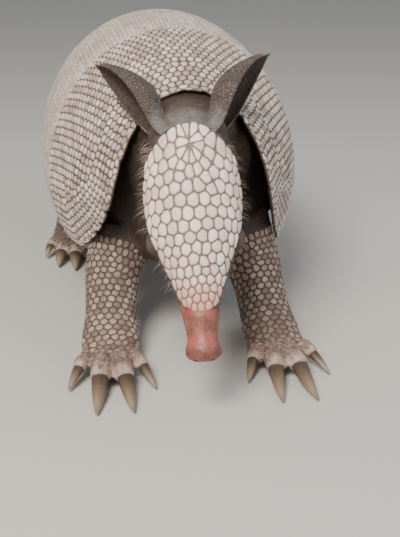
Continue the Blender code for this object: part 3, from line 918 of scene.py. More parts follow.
# %% The head shield
STRETCH = 1.2  # length of a scute to its width
CROWN = 10.0  # the whorl's centre, in millimetres before the shield's rear margin
WHORL = ((3.7, 10), (8.3, 14))  # radius and number of scutes of its two rings
WHORL_TURN = 0.25  # how far the first ring is turned, in scutes
WHORL_ROOM = 11.6  # no other seeds within this distance
HEAD_SCUTE = (5.3, 3.7)  # spacing at the crown and at the snout
HEAD_GRADE = 45  # the length over which it changes
HEAD_JITTER = 1.25
FRONT_ROW = 1.9
SHIELD_BASE = -1.0
BUMPS = (260, 0.25)  # scale and height of the head's unevenness
FRONT_SINK = (9, 0.9)  # the shield thins out over this length, by this much
SWAY = (500, 0.3)  # scale and size of the bends in the outlines
SWAY_SHIFTS = (Vector(), Vector((0, 0, 0.1)), Vector((0, 0, 0.2)))


def shield_half_arc(forward):
    """Half the width of the shield, measured over its curve."""
    width, top, _ = smooth_row(HEAD_SECTIONS, forward)
    return radians(smooth_row(SHIELD_ANGLES, forward)[0]) * (width + top) / 2


def flat_place(forward, out):
    """A place of the flat pattern. out runs from -1 at the right edge to 1 at the left one."""
    return Vector((out * shield_half_arc(forward), forward / STRETCH, 0)) * MM


def on_head(flat):
    """The place on the head of a point of the flat pattern, made a little uneven."""
    forward = min(SHIELD_FRONT, max(SHIELD_REAR, flat.y * STRETCH / MM))
    out = min(1, max(-1, flat.x / MM / shield_half_arc(forward)))
    length, depth = FRONT_SINK
    uneven = noise.noise(flat * BUMPS[0]) * BUMPS[1]
    uneven -= depth * ease((forward - SHIELD_FRONT + length) / length)
    return spot(head_point(forward, radians(smooth_row(SHIELD_ANGLES, forward)[0]) * out,
                           SHIELD_BASE + uneven))


def with_middles(outline):
    """The outline with one more corner in the middle of each side, moved a little off it."""
    fuller = []
    for corner, following in zip(outline, outline[1:] + outline[:1]):
        middle = (corner + following) / 2
        sway = Vector([noise.noise((middle + shift) * SWAY[0]) for shift in SWAY_SHIFTS])
        fuller += [corner, middle + Vector((sway.x, sway.y, 0)) * SWAY[1] * MM]
    return fuller


print("the shield is", round(2 * shield_half_arc(30)), "mm over its curve at the eyebrows")

# %% [markdown]
# The seeds of the head come in two kinds: rings round the whorl's centre, and rows from the snout
# up to them, each row half a step aside from the one before and every seed strayed by chance.

# %% Seeds of the head shield
EDGE_OUT = 0.93  # no seeds beyond this share of the half width
REAR_ROOM = 1.5  # nor this close to the rear margin, and the front one
FRONT_ROOM = 1


def shield_rear(out):
    """The rear margin, which curves forwards at the sides."""
    return SHIELD_REAR + SHIELD_REAR_CURVE * min(1, abs(out)) ** SHIELD_REAR_POWER


def shield_front(out):
    """The front margin, which curves back at the sides."""
    return SHIELD_FRONT - SHIELD_FRONT_CURVE * out ** 2


def head_seeds():
    """Seeds of the whorl on the crown, and staggered rows from the snout up to it."""
    crown = flat_place(CROWN, 0)
    seeds = []
    for ring, (radius, count) in enumerate(WHORL):
        for step in range(count):
            angle = 2 * pi * (step + ring * 0.5 + WHORL_TURN) / count
            seeds.append(crown + Vector((cos(angle), sin(angle), 0)) * radius * MM)
    forward = SHIELD_FRONT - FRONT_ROW
    row = 0
    while forward > SHIELD_REAR:
        grade = ease((SHIELD_FRONT - forward) / HEAD_GRADE)
        spacing = HEAD_SCUTE[1] + (HEAD_SCUTE[0] - HEAD_SCUTE[1]) * grade
        count = int(shield_half_arc(forward) / spacing) + 2
        for step in range(-count, count + 1):
            place = Vector(((step + row % 2 / 2) * spacing, forward / STRETCH, 0)) * MM
            if (place - crown).length > WHORL_ROOM * MM:
                seeds.append(place + Vector((RANDOM.uniform(-1, 1), RANDOM.uniform(-1, 1), 0))
                             * HEAD_JITTER * MM)
        forward -= spacing * ROW_PITCH * STRETCH
        row += 1
    kept = []
    for seed in seeds:
        forward = seed.y * STRETCH / MM
        out = seed.x / MM / shield_half_arc(max(SHIELD_REAR, forward))
        if abs(out) < EDGE_OUT and shield_rear(out) + REAR_ROOM < forward < shield_front(out) - FRONT_ROOM:
            kept.append(seed)
    return kept


HEAD_SEEDS = head_seeds()
print("seeds on the head:", len(HEAD_SEEDS))

# %% [markdown]
# The pattern's margins are lines too: rear, front and the two sides. The outlines are worked out
# flat, get a bend in each side, and are then wrapped on the head and raised. Towards the snout the
# horn turns pink, which a number at each corner tells the finish.

# %% Wrapping and raising it
HEAD_WELD = 0.55 * MM
HEAD_THICK = 1.0
HEAD_ROUNDING = 0.25
HEAD_INSETS = [(0.12, 0.2, 0.25), (0.35, 0.5, 0.7), (0.8, 0.25, 1)]
OUTLINE_ROOM = 1.3  # the outlines reach this many spacings of the crown
MARGIN_STEPS = 200
BLUSH = (20, 0.85)  # the length over which the horn turns pink, and how pink


def head_shield():
    """The head shield, scute by scute."""
    outs = [step / MARGIN_STEPS - 1 for step in range(2 * MARGIN_STEPS + 1)]
    rear = [flat_place(shield_rear(out), out) for out in outs]
    front = [flat_place(shield_front(out), out) for out in outs]
    corner_rear = SHIELD_REAR + SHIELD_REAR_CURVE
    corner_front = SHIELD_FRONT - SHIELD_FRONT_CURVE
    stops = [corner_rear + (corner_front - corner_rear) * step / MARGIN_STEPS
             for step in range(MARGIN_STEPS + 1)]
    sides = [[flat_place(forward, out) for forward in stops] for out in (-1, 1)]
    outlines = scute_outlines(HEAD_SEEDS, [rear, front] + sides, HEAD_SCUTE[0] * OUTLINE_ROOM * MM,
                              lambda point: (point, Vector((0, 0, -1))), 1)
    outlines = [[on_head(point) for point in with_middles(outline)]
                for outline in welded(outlines, HEAD_WELD)]
    sheet = outline_sheet("head_scutes", outlines)
    raise_scutes(sheet, HEAD_THICK, HEAD_INSETS, HEAD_HORN, UNDER_HORN, HEAD_ROUNDING)
    front_edge = spot(head_place(SHIELD_FRONT, 0, 0))
    nose = (head_place(SHIELD_FRONT, 0, 0) - head_place(SHIELD_FRONT - 10, 0, 0)).normalized()
    length, most = BLUSH
    forwards = [(vertex.co - front_edge).dot(nose) / MM for vertex in sheet.data.vertices]
    blush = sheet.data.attributes.new("blush", "FLOAT", "POINT")
    blush.data.foreach_set("value", [most * ease((forward + length) / length) for forward in forwards])
    return finish_piece(sheet, "shell", "head_shield")


head_shield()

# %% [markdown]
# ## The tail's rings and tip
#
# Twelve rings sheath the root of the tail, each with a row of small scutes in front and one of
# longer scutes behind, whose rear ends stand out over the next ring. Beyond them the scutes are
# in plain rows that grow smaller to the tip. The outlines are drawn straight on the round
# surface, so they close round it without a seam.

# %% The tail
TAIL_BASE = -0.7  # the level of the outlines, in millimetres from the tail's surface
TAIL_THICK = 0.9
TAIL_ROUNDING = 0.2
TAIL_INSETS = [(0.3, 0.35, 0.6), (0.45, 0.3, 1)]
HEX_POINT = 0.24  # how far the corners of a row reach into the next one


def hex_outlines(stops, count, place):
    """Six-sided outlines in staggered rows round a tube. place(a, b) gives their corners.

    stops are the borders of the rows from front to rear, and b runs from 0 to 1 round the tube.
    """
    points = [0]
    for before, stop, after in zip(stops, stops[1:], stops[2:]):
        points.append(HEX_POINT * min(stop - before, after - stop))
    points.append(0)
    outlines = []
    for row in range(len(stops) - 1):
        front, rear = stops[row], stops[row + 1]
        for step in range(count):
            middle = step + row % 2 / 2
            corners = [(front + points[row], -0.5), (front - points[row], 0), (front + points[row], 0.5),
                       (rear - points[row + 1], 0.5), (rear + points[row + 1], 0),
                       (rear - points[row + 1], -0.5)]
            outlines.append([place(a, (middle + across) / count % 1) for a, across in corners])
    return outlines


def vertex_rows(piece, name):
    """The places or normals of a piece's vertices as rows of three numbers."""
    rows = np.empty(len(piece.data.vertices) * 3, np.float32)
    piece.data.vertices.foreach_get(name, rows)
    return rows.reshape(-1, 3)


def rest_on_floor(piece):
    """Flatten what would reach below the floor."""
    places = vertex_rows(piece, "co")
    places[:, 2] = np.maximum(places[:, 2], 0)
    piece.data.vertices.foreach_set("co", places.ravel())
    piece.data.update()


def tail_sheath(name, start, end, lift_at, stops, count, replaced):
    """Rows of scutes round the tail, between two shares of its length."""
    def place(a, b):
        return spot(tail_point(start + (end - start) * a, 2 * pi * b, lift_at(a)))
    sheet = outline_sheet(name, hex_outlines(stops, count, place))
    edit_all(sheet, bpy.ops.mesh.normals_make_consistent, inside=False)
    raise_scutes(sheet, TAIL_THICK, TAIL_INSETS, SHELL_HORN, UNDER_HORN, TAIL_ROUNDING)
    rest_on_floor(sheet)
    return finish_piece(sheet, "shell", replaced)


print("the tail's rings are", round(TAIL_RINGS_END / TAIL_RINGS * TAIL_LENGTH, 1), "mm apart")

# %% [markdown]
# A ring starts under the ring before it and comes up at once, so each looks like a cuff. The rows
# of the tip are as long as they are wide at each place, times a little more, and the tip closes in
# a small dome.

# %% The rings and the tip
RING_TUCK = 0.006  # how far a ring starts under the one before, as a share of the tail
RING_FRONT_DEPTH = 1.7
RING_RISE = 0.2  # the share of a ring over which it comes up
RING_STOPS = (0, 0.58, 1)  # the two rows of scutes of a ring
RING_SCUTE = 5.2
TAIL_COLUMNS = 9
TIP_STRETCH = 1.3
TIP_TUCK = 0.004
TIP_LAST_ROW = 0.975
TIP_DOME = 0.015  # the share of the tip that is rounded


def ring_lift(a):
    """The level of a ring, from its front (0) to its rear (1)."""
    return TAIL_BASE - RING_FRONT_DEPTH * (1 - ease(a / RING_RISE))


def tip_radius(a):
    """The tail's radius along the tip."""
    return smooth_row(TAIL_BY_LENGTH, TAIL_RINGS_END + (1 - TAIL_RINGS_END) * a)[3]


def tip_lift(a):
    """The tip closes on the tail's middle line."""
    round_off = sqrt(max(0, 1 - max(0, (a - 1 + TIP_DOME) / TIP_DOME) ** 2))
    return (tip_radius(a) + TAIL_BASE) * round_off - tip_radius(a)


def tail():
    """All the rings, and the tip."""
    pitch = TAIL_RINGS_END / TAIL_RINGS
    for index in range(TAIL_RINGS):
        start = max(0, index * pitch - RING_TUCK)
        radius = smooth_row(TAIL_BY_LENGTH, start)[3]
        count = max(TAIL_COLUMNS, round(2 * pi * radius / RING_SCUTE))
        tail_sheath(f"tail_ring_scutes_{index + 1}", start, (index + 1) * pitch + RING_TUCK / 3,
                    ring_lift, RING_STOPS, count, f"tail_ring_{index + 1}")
    stops = [0]
    while stops[-1] < TIP_LAST_ROW:
        row = 2 * pi * tip_radius(stops[-1]) / TAIL_COLUMNS * TIP_STRETCH
        stops.append(stops[-1] + row / TAIL_LENGTH / (1 - TAIL_RINGS_END))
    stops[-1] = 1
    tail_sheath("tail_tip_scutes", TAIL_RINGS_END - TIP_TUCK, 1, tip_lift, stops, TAIL_COLUMNS,
                "tail_tip")


tail()

# %% [markdown]
# ## One skin over the head, trunk and legs
#
# Flesh has no seams. The parts of the body are first made as simple closed forms that run into
# each other, each a row of cross-sections. Joined and remeshed with small voxels they become one
# surface, and a little smoothing melts them together, as clay would.

# %% Measures of the trunk and limbs
# The trunk inside the shell: along, inset from the shell, belly depth below the centre
TRUNK_SECTIONS = (
    (0.00, 20, 38),
    (0.10, 13, 43),
    (0.25, 5.6, 47),
    (0.58, 5.6, 48),
    (0.80, 5.6, 42),
    (0.93, 5.6, 31),
    (1.00, 6.0, 24),
)
NAPE_FULLNESS = 0.68  # how far the nape fills the room under the shell
CHEST_FRONT = Vector((0, -16, 4))
CHEST_BOWS = (25, 50, 70, 84)  # degrees round the bow of the chest
RUMP = (Vector((0, 160, 68)), (33, 26, 20))
# Legs: x, y, z of the limb's middle, half width across, half thickness along, on the left
FORELEG = (
    (33, -68, 66, 17, 18),
    (36, -70, 53, 16.5, 17),
    (40, -76, 40, 15.5, 15),
    (42, -86, 28, 14, 12.5),
    (43, -97, 18.5, 14, 10.5),
    (44, -108, 11.5, 15.5, 9),
    (44.5, -119, 7.0, 15, 7.4),
)
HINDLEG = (
    (35, 93, 68, 17, 20),
    (41, 94, 56, 17, 20),
    (49, 98, 43, 16, 18.5),
    (57, 107, 31, 15, 16),
    (59, 110, 20, 14, 13.5),
    (60, 101, 11.5, 15, 11),
    (61, 86, 8.6, 16.5, 9.0),
    (61.5, 72, 7.4, 16.5, 7.8),
)
# Digits from the inner one out: name, sideways place, forward place, turn outwards,
# toe length, toe radius, claw length, claw radius
FORE_DIGITS = (
    ("inner", -11.5, 4, -20, 12, 4.8, 16, 2.9),
    ("second", -4.4, 9, -5, 17, 6.3, 27, 4.1),
    ("third", 4.8, 8, 6, 17, 6.5, 28, 4.3),
    ("outer", 12.0, 2, 24, 12, 4.8, 15, 2.9),
)
HIND_DIGITS = (
    ("inner", -13.0, -5, -16, 12, 4.5, 10, 3.0),
    ("second", -7.6, 3, -7, 17, 5.6, 15, 3.9),
    ("third", -0.4, 6, 1, 18, 6.0, 17, 4.2),
    ("fourth", 7.0, 2, 9, 16, 5.6, 15, 3.9),
    ("outer", 13.0, -7, 22, 11, 4.5, 10, 3.0),
)
LIMBS = (("foreleg", FORELEG, FORE_DIGITS), ("hindleg", HINDLEG, HIND_DIGITS))
SIDES = ((1, "left"), (-1, "right"))
# A toe: share of its length, size, rise of its middle
TOE_SECTIONS = ((0, 0.8, 0), (0.3, 0.98, 1.2), (0.5, 0.92, 1.5), (0.72, 1.0, 1.4), (0.9, 0.96, 0.9),
                (1, 0.86, 0.4))
TOE_DROP = 0.35  # fall of a toe's middle line for its length
TOE_WIDTH = 0.82
TOE_START = 10  # how far back in the foot a toe begins
print("toes and claws:", 2 * len(FORE_DIGITS), "in front and", 2 * len(HIND_DIGITS), "behind")

# %% Forms from rings of points
FORM_SIDES = 36


def form(name, rings):
    """A closed form through rings of points of the tables."""
    sides = len(rings[0])
    points = [spot(point) for ring in rings for point in ring]
    faces = [tuple(range(sides)), tuple(range(len(points) - sides, len(points)))]
    for row in range(len(rings) - 1):
        for side in range(sides):
            a = row * sides + side
            b = row * sides + (side + 1) % sides
            faces.append((a, b, b + sides, a + sides))
    made = new_piece(name, points, faces)
    edit_all(made, bpy.ops.mesh.normals_make_consistent, inside=False)
    return made


def turns(count):
    """Angles at even steps once round."""
    return [2 * pi * step / count for step in range(count)]


def ellipse(centre, across, along):
    """A ring of points around a centre, spanned by two half axes."""
    return [centre + across * cos(angle) + along * sin(angle)
            for angle in turns(FORM_SIDES)]


def mirrored(point, side):
    """A point of the left side for a side: 1 is left and -1 right."""
    return Vector((point[0] * side, point[1], point[2]))


print("a form has", FORM_SIDES, "sides")

# %% The trunk and the skull


def trunk_point(along, angle):
    """A point on the trunk, inside the shell."""
    y, z, lean, width, height, _, _ = smooth_row(SHELL_SECTIONS, along)
    inset, belly = smooth_row(TRUNK_SECTIONS, along)
    inset *= 1 - NAPE_FULLNESS * ease((cos(angle) - 0.1) / 0.6) * ease((0.3 - along) / 0.2)
    lean = radians(lean)
    rise = (height - inset if cos(angle) > 0 else belly) * cos(angle)
    return Vector(((width - inset) * sin(angle),
                   y + rise * sin(lean),
                   z + rise * cos(lean)))


def skull_lift(forward, angle):
    """How far the skull lies below the head's outline: under the shield, deeper by its bed."""
    bed = ease((SHIELD_FRONT + 1 - forward) / 5) * ease((forward - SHIELD_REAR + 6) / 4)
    side = abs((degrees(angle) + 180) % 360 - 180)
    return -3.0 * bed * ease((97 - side) / 10) - 0.9 * ease((forward - 84) / 10)


print("the belly's lowest point:", round(min(trunk_point(step / 20, pi).z for step in range(21))), "mm")

# %% Limbs and toes


def limb_frame(table, share):
    """The middle of a limb, its half axes and its run, at a share of its length."""
    x, y, z, across, thick = smooth_row(table, share)
    ahead = Vector(smooth_row(table, min(1, share + SLOPE_STEP))[:3])
    behind = Vector(smooth_row(table, max(0, share - SLOPE_STEP))[:3])
    run = (ahead - behind).normalized()
    sideways = Vector((1, 0, 0))
    sideways = (sideways - run * sideways.dot(run)).normalized()
    return Vector((x, y, z)), sideways * across, run.cross(sideways) * thick, run


def digit_frame(foot, digit, side):
    """Where a digit starts and the way it points."""
    _, place, forward, turn, _, _, _, _ = digit
    turn = radians(turn)
    ahead = Vector((sin(turn), -cos(turn), 0))
    start = Vector(foot) + Vector((place, -forward, 0)) - ahead * TOE_START
    return mirrored(start, side), mirrored(ahead, side)


def toe_frame(foot, digit, side, share):
    """The middle of a toe and its half axes, at a share of its length."""
    start, ahead = digit_frame(foot, digit, side)
    size, rise = smooth_row(TOE_SECTIONS, share)
    across = Vector((0, 0, 1)).cross(ahead)
    middle = start + ahead * (TOE_START + digit[4]) * share + Vector((0, 0, rise))
    up = (Vector((0, 0, 1)) + ahead * TOE_DROP * share).normalized()
    width = digit[5] * size * TOE_WIDTH
    return middle, across * width, up * digit[5] * size


print("a foreleg starts", round(limb_frame(by_length(FORELEG), 0)[0].z), "mm above the floor")

# %% [markdown]
# A claw leaves the toe at the toe's slope and bends evenly, just so much that its tip ends close to
# the floor. Its place at each share of its length is found by walking along that bend.

# %% The line of a claw
CLAW_TIP_HEIGHT = 1.8
CLAW_ROOM = 0.5  # between the end of the toe and the root
CLAW_RISE = 0.4
CLAW_DEPTH = 0.82
CLAW_TAPER = 0.86
CLAW_TAPER_POWER = 1.6
CLAW_STEPS = 24
MOST_BEND = 0.95


def claw_frame(foot, digit, side, t):
    """The middle of a claw, its half axes and its run. t is 0 at the root and 1 at the tip."""
    start, ahead = digit_frame(foot, digit, side)
    toe_length, length, radius = digit[4], digit[6], digit[7]
    across = Vector((0, 0, 1)).cross(ahead)
    slope = atan(TOE_DROP)
    middle = start + ahead * (TOE_START + toe_length + CLAW_ROOM) + Vector((0, 0, CLAW_RISE))
    bend = 2 * (asin(min(MOST_BEND, (middle.z - CLAW_TIP_HEIGHT) / length)) - slope)
    for step in range(CLAW_STEPS):
        angle = slope + bend * max(0, t) * step / CLAW_STEPS
        middle += (ahead * cos(angle) - Vector((0, 0, sin(angle)))) * length * t / CLAW_STEPS
    angle = slope + bend * max(0, t)
    run = ahead * cos(angle) - Vector((0, 0, sin(angle)))
    up = ahead * sin(angle) + Vector((0, 0, cos(angle)))
    size = radius * (1 - CLAW_TAPER * max(0, t) ** CLAW_TAPER_POWER)
    return middle, across * size, up * size * CLAW_DEPTH, run


print("the longest claw is", max(digit[6] for digit in FORE_DIGITS), "mm long")

# %% The nose and the eyelids
# The nose: forward from the crown, half width
NOSE_SECTIONS = ((96, 6), (99, 8.0), (101.4, 8.8), (103.4, 8.5), (105.0, 7.4), (106.0, 5.4),
                 (106.6, 2.6))
NOSE_DEPTH = 0.9  # its height as a share of its width
LIDS = (5.6, 6.4, 5.2)  # half sizes of the bulge of the eyelids: out, along and up


def ball(name, centre, radii, axes, segments=32):
    """A round or egg-shaped ball from a primitive: centre in metres, radii in millimetres."""
    bpy.ops.mesh.primitive_uv_sphere_add(segments=segments, ring_count=segments // 2, radius=1)
    made = bpy.context.object
    made.name = name
    turn = Matrix([[axis[row] * radius * MM for axis, radius in zip(axes, radii)]
                   for row in range(3)]).to_4x4()
    made.data.transform(Matrix.Translation(centre) @ turn)
    return made


def eye_frame(side):
    """The centre of an eye, in metres, and its directions: out, towards the nose and up."""
    low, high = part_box("eye_left" if side > 0 else "eye_right")
    angle = radians(EYE_PLACE[1]) * side
    out = (head_point(EYE_PLACE[0], angle, 5) - head_point(EYE_PLACE[0], angle, 0)).normalized()
    nose = head_place(60, 0, 0) - head_place(50, 0, 0)
    nose = (nose - out * nose.dot(out)).normalized()
    return (low + high) / 2, (out, nose, out.cross(nose))


print("an eye is", 2 * EYE_RADIUS, "mm across")

# %% [markdown]
# Each form runs well into its neighbours, or the melting would leave a gap between them. The neck
# is a row of rings that change from the trunk's outline to the head's, and each claw sits in a
# short collar, its cuticle.

# %% All the forms of the body
TRUNK_STEPS = 40
TRUNK_SIDES = 56
NECK_REAR = 0.04  # the neck starts at this share of the trunk
NECK_FRONT = -10  # and ends here on the head
NECK_STEPS = 8
HEAD_STEPS = 70
LIMB_STEPS = 30
TOE_STEPS = 14
CUTICLE_STOPS = (-0.2, -0.1, 0, 0.04)
TAIL_FORM_END = 0.61
TAIL_FORM_LIFT = -2.6  # inside the rings, but fuller at the root
TAIL_ROOT_LIFT = 4.5


def torso_forms():
    """Trunk, rump and neck."""
    rings = [[trunk_point(step / TRUNK_STEPS, angle) for angle in turns(TRUNK_SIDES)]
             for step in range(TRUNK_STEPS + 1)]
    front = rings[0]
    middle = sum(front, Vector()) / len(front)
    for bow in CHEST_BOWS:
        shrink, ahead = cos(radians(bow)), sin(radians(bow))
        rings.insert(0, [middle + (point - middle) * shrink + CHEST_FRONT * ahead
                         for point in front])
    forms = [form("trunk_form", rings)]
    axes = (Vector((1, 0, 0)), Vector((0, 1, 0)), Vector((0, 0, 1)))
    forms.append(ball("rump_form", spot(RUMP[0]), RUMP[1], axes))
    front = [trunk_point(NECK_REAR, angle) for angle in turns(FORM_SIDES)]
    back = [head_point(NECK_FRONT, angle, -1) for angle in turns(FORM_SIDES)]
    rings = []
    for step in range(NECK_STEPS + 1):
        t = step / NECK_STEPS
        rings.append([a.lerp(b, 0.5 * (t + ease(t))) for a, b in zip(front, back)])
    forms.append(form("neck_form", rings))
    return forms


def head_forms():
    """Skull, nose and eyelids."""
    forwards = [-14 + 119 * step / HEAD_STEPS for step in range(HEAD_STEPS + 1)]
    forms = [form("head_form", [[head_point(forward, angle, skull_lift(forward, angle))
                                 for angle in turns(FORM_SIDES)] for forward in forwards])]
    forms.append(form("nose_form", [[head_place(forward, sin(angle) * size,
                                                cos(angle) * size * NOSE_DEPTH + 0.4)
                                     for angle in turns(FORM_SIDES)]
                                    for forward, size in NOSE_SECTIONS]))
    for side, name in SIDES:
        centre, axes = eye_frame(side)
        forms.append(ball(f"lids_{name}", centre - axes[0] * 0.5 * MM, LIDS, axes))
    return forms


def digit_forms(foot, digit, side):
    """A toe and the cuticle of its claw."""
    rings = [ellipse(*toe_frame(foot, digit, side, step / TOE_STEPS)) for step in range(TOE_STEPS + 1)]
    toe = form("toe_form", rings)
    rings = []
    for t in CUTICLE_STOPS:
        middle, across, up, _ = claw_frame(foot, digit, side, t)
        rings.append(ellipse(middle, across * 1.1 + across.normalized() * 0.5,
                             up * 1.12 + up.normalized() * 0.6))
    return [toe, form("cuticle_form", rings)]


def leg_forms():
    """The four legs with their digits."""
    forms = []
    for kind, table, digits in LIMBS:
        rows = by_length(table)
        for side, _ in SIDES:
            rings = []
            for step in range(LIMB_STEPS + 1):
                middle, across, along, _ = limb_frame(rows, step / LIMB_STEPS)
                rings.append([mirrored(point, side) for point in ellipse(middle, across, along)])
            forms.append(form(f"{kind}_form", rings))
            for digit in digits:
                forms += digit_forms(table[-1][:3], digit, side)
    return forms


def tail_root_form():
    """The flesh inside the tail's rings."""
    rings = []
    for step in range(LIMB_STEPS + 1):
        share = TAIL_FORM_END * step / LIMB_STEPS
        lift = TAIL_FORM_LIFT + TAIL_ROOT_LIFT * (1 - ease(share / 0.05))
        rings.append([tail_point(share, angle, lift) for angle in turns(FORM_SIDES)])
    return form("tail_form", rings)


FORMS = torso_forms() + head_forms() + leg_forms() + [tail_root_form()]
print("forms to melt together:", len(FORMS))

# %% Joining and melting them
SKIN_VOXEL = 1.33 * MM  # finer ones would make too many faces


def joined(pieces, name):
    """The pieces as one object."""
    bpy.ops.object.select_all(action="DESELECT")
    for piece in pieces:
        piece.select_set(True)
    bpy.context.view_layer.objects.active = pieces[0]
    bpy.ops.object.join()
    pieces[0].name = name
    return pieces[0]


SKIN = joined(FORMS, "skin")
apply_modifier(SKIN, "REMESH", mode="VOXEL", voxel_size=SKIN_VOXEL)
apply_modifier(SKIN, "SMOOTH", factor=0.6, iterations=5)
print("skin after melting:", len(SKIN.data.polygons), "faces")

# %% [markdown]
# Most of the trunk is never seen, because the shell covers it. Decimate takes faces away there and
# only there: a vertex group says how freely each place may be thinned.

# %% Thinning what the shell hides
HIDDEN_FRONT = -88  # y and z in millimetres, before the shift
HIDDEN_REAR = 175
HIDDEN_LOW = 62
THINNING = 0.96  # the share of the hidden faces that goes


def is_hidden(x, y, z):
    """Whether a place lies well inside the shell or the tail's rings."""
    within = HIDDEN_FRONT < y < HIDDEN_REAR and z > HIDDEN_LOW + max(0, -45 - y) * 0.9
    under_shell = within and abs(x) < 90 and (y > -60 or z > 125)
    return under_shell or y > 208


def thin_hidden(skin):
    """Thin the skin well inside the shell."""
    group = skin.vertex_groups.new(name="hidden")
    hidden = [vertex.index for vertex in skin.data.vertices if is_hidden(*(vertex.co - SHIFT) / MM)]
    for index in hidden:
        group.add([index], 1.0, "REPLACE")
    share = len(hidden) / len(skin.data.vertices)
    apply_modifier(skin, "DECIMATE", ratio=1 - share * THINNING, vertex_group="hidden")
    print("skin after thinning:", len(skin.data.polygons), "faces,", round(share, 2), "hidden")


thin_hidden(SKIN)

# %% [markdown]
# ## Ears
#
# An armadillo's ear is a leathery leaf rolled into a trumpet. A flat grid is the leaf: each of its
# points is moved to its place on the trumpet, Solidify gives it thickness, less at the rim, and a
# Boolean union makes it one with the head.

# %% Ears
# Along the ear: half width of the leaf, wrap of the near and of the far side in degrees
EAR_SECTIONS = (
    (0.00, 6.4, 112, 140),
    (0.14, 8.4, 102, 136),
    (0.32, 10.4, 93, 130),
    (0.54, 10.0, 84, 124),
    (0.75, 7.6, 74, 114),
    (0.91, 4.3, 62, 98),
    (1.00, 1.3, 50, 64),
)
EAR_LENGTH = 47
EAR_SPLAY = 46  # degrees outwards from the head's axis
EAR_FORWARD = 20  # degrees forwards
EAR_CURL = 2.5  # how far the middle of the ear bends back
EAR_ROOT = (-3, 14.5, 9)
EAR_THICK = 1.3
EAR_TURN = 20  # degrees that the trumpet's mouth is turned outwards
EAR_START = -0.14  # the leaf begins inside the head
EAR_CELLS = (36, 40)
EAR_FOLDS = (0.35, 24)  # height and number of the soft folds inside
EAR_RIM_WIDTH = 0.16


def ear_frame(side):
    """Root, axis, and the directions of an ear's mouth and of its near side."""
    root = head_place(EAR_ROOT[0], side * EAR_ROOT[1], EAR_ROOT[2])
    splay = radians(EAR_SPLAY)
    lift = radians(EAR_FORWARD)
    axis = head_place(EAR_ROOT[0] - cos(splay) * cos(lift),
                      side * (EAR_ROOT[1] + sin(splay)),
                      EAR_ROOT[2] + sin(lift)) - root
    axis.normalize()
    face = (head_place(0, 0, 1) - head_place(0, 0, 0)).normalized()
    mouth = axis.cross(face).normalized() * side
    mouth.rotate(Matrix.Rotation(radians(EAR_TURN) * side, 3, axis))
    return root, axis, mouth, mouth.cross(axis).normalized() * side


def ear_place(frame_of_ear, a, b):
    """A place on the middle of the leaf; a runs from root to tip, b from side to side."""
    root, axis, mouth, near = frame_of_ear
    half, near_wrap, far_wrap = smooth_row(EAR_SECTIONS, a)
    angle = radians(-far_wrap + (near_wrap + far_wrap) * b)
    bend = EAR_CURL * sin(pi * max(0, a))
    middle = root + axis * EAR_LENGTH * a - mouth * bend
    radius = half - EAR_THICK / 2 * min(1, half / 3)
    fold = EAR_FOLDS[0] * sin(b * EAR_FOLDS[1])
    radius += fold * sin(pi * max(0, a)) * (1 - abs(2 * b - 1))
    return spot(middle + mouth * -cos(angle) * radius + near * sin(angle) * radius)


def ear(side, name):
    """A leaf rolled into a trumpet, thinner at its rim."""
    bpy.ops.mesh.primitive_grid_add(x_subdivisions=EAR_CELLS[0], y_subdivisions=EAR_CELLS[1], size=1)
    leaf = bpy.context.object
    leaf.name = f"ear_form_{name}"
    thick = leaf.vertex_groups.new(name="thick")
    frame_of_ear = ear_frame(side)
    for vertex in leaf.data.vertices:
        b = vertex.co.x + 0.5
        a = EAR_START + (1 - EAR_START) * (vertex.co.y + 0.5)
        rim = min(b, 1 - b, (1 - a) * 1.5)
        thick.add([vertex.index], 0.45 + 0.55 * ease(rim / EAR_RIM_WIDTH), "REPLACE")
        vertex.co = ear_place(frame_of_ear, a, b)
    apply_modifier(leaf, "SOLIDIFY", thickness=EAR_THICK * MM, offset=0, vertex_group="thick",
                   use_even_offset=False)
    edit_all(leaf, bpy.ops.mesh.normals_make_consistent, inside=False)
    return leaf


EARS = joined([ear(side, name) for side, name in SIDES], "ears")
print("ears:", len(EARS.data.polygons), "faces")

# %% [markdown]
# The mouth, the nostrils and the gaps between the eyelids are cut out of the skin with a Boolean.
# The cutters are a thin wedge along each side of the jaws and balls for the rest. A socket a tenth
# of a millimetre larger than the eye keeps lid and eye apart.

# %% Cutters for the openings
OPENING = (4.5, 3.4, 2.1)  # the gap between the lids: depth, half length, half height
OPENING_OUT = 4.2  # its centre lies this far out from the eye's
SOCKET_ROOM = 0.1
MOUTH = (60, 103)  # where the corner of the mouth and its front lie, from the crown
MOUTH_ANGLE = (128, 118)  # degrees down from the top of the head, at both
MOUTH_DEPTH = 1.9
MOUTH_HALF_WIDTH = 0.38
MOUTH_STEPS = 24
NOSTRIL_PLACE = (105.6, 3.7, 0.9)
NOSTRIL = (3.4, 1.5, 2.1)  # half sizes: along the nose, sideways and up


def mouth_form(side):
    """A thin curved wedge along the line where the jaws meet."""
    rings = []
    for step in range(MOUTH_STEPS + 1):
        t = step / MOUTH_STEPS
        forward = MOUTH[0] + (MOUTH[1] - MOUTH[0]) * step / MOUTH_STEPS
        angle = radians(MOUTH_ANGLE[0] + (MOUTH_ANGLE[1] - MOUTH_ANGLE[0]) * t) * side
        place = head_point(forward, angle, 0.2)
        inward = (head_point(forward, angle, -1) - place).normalized()
        along = (head_point(forward + 1, angle, 0) - head_point(forward - 1, angle, 0)).normalized()
        across = inward.cross(along)
        deep = MOUTH_DEPTH * ease(step / 5)
        wide = MOUTH_HALF_WIDTH
        rings.append([place + inward * deep * cos(turn) + across * wide * sin(turn)
                      for turn in turns(10)])
    return form("mouth_form", rings)


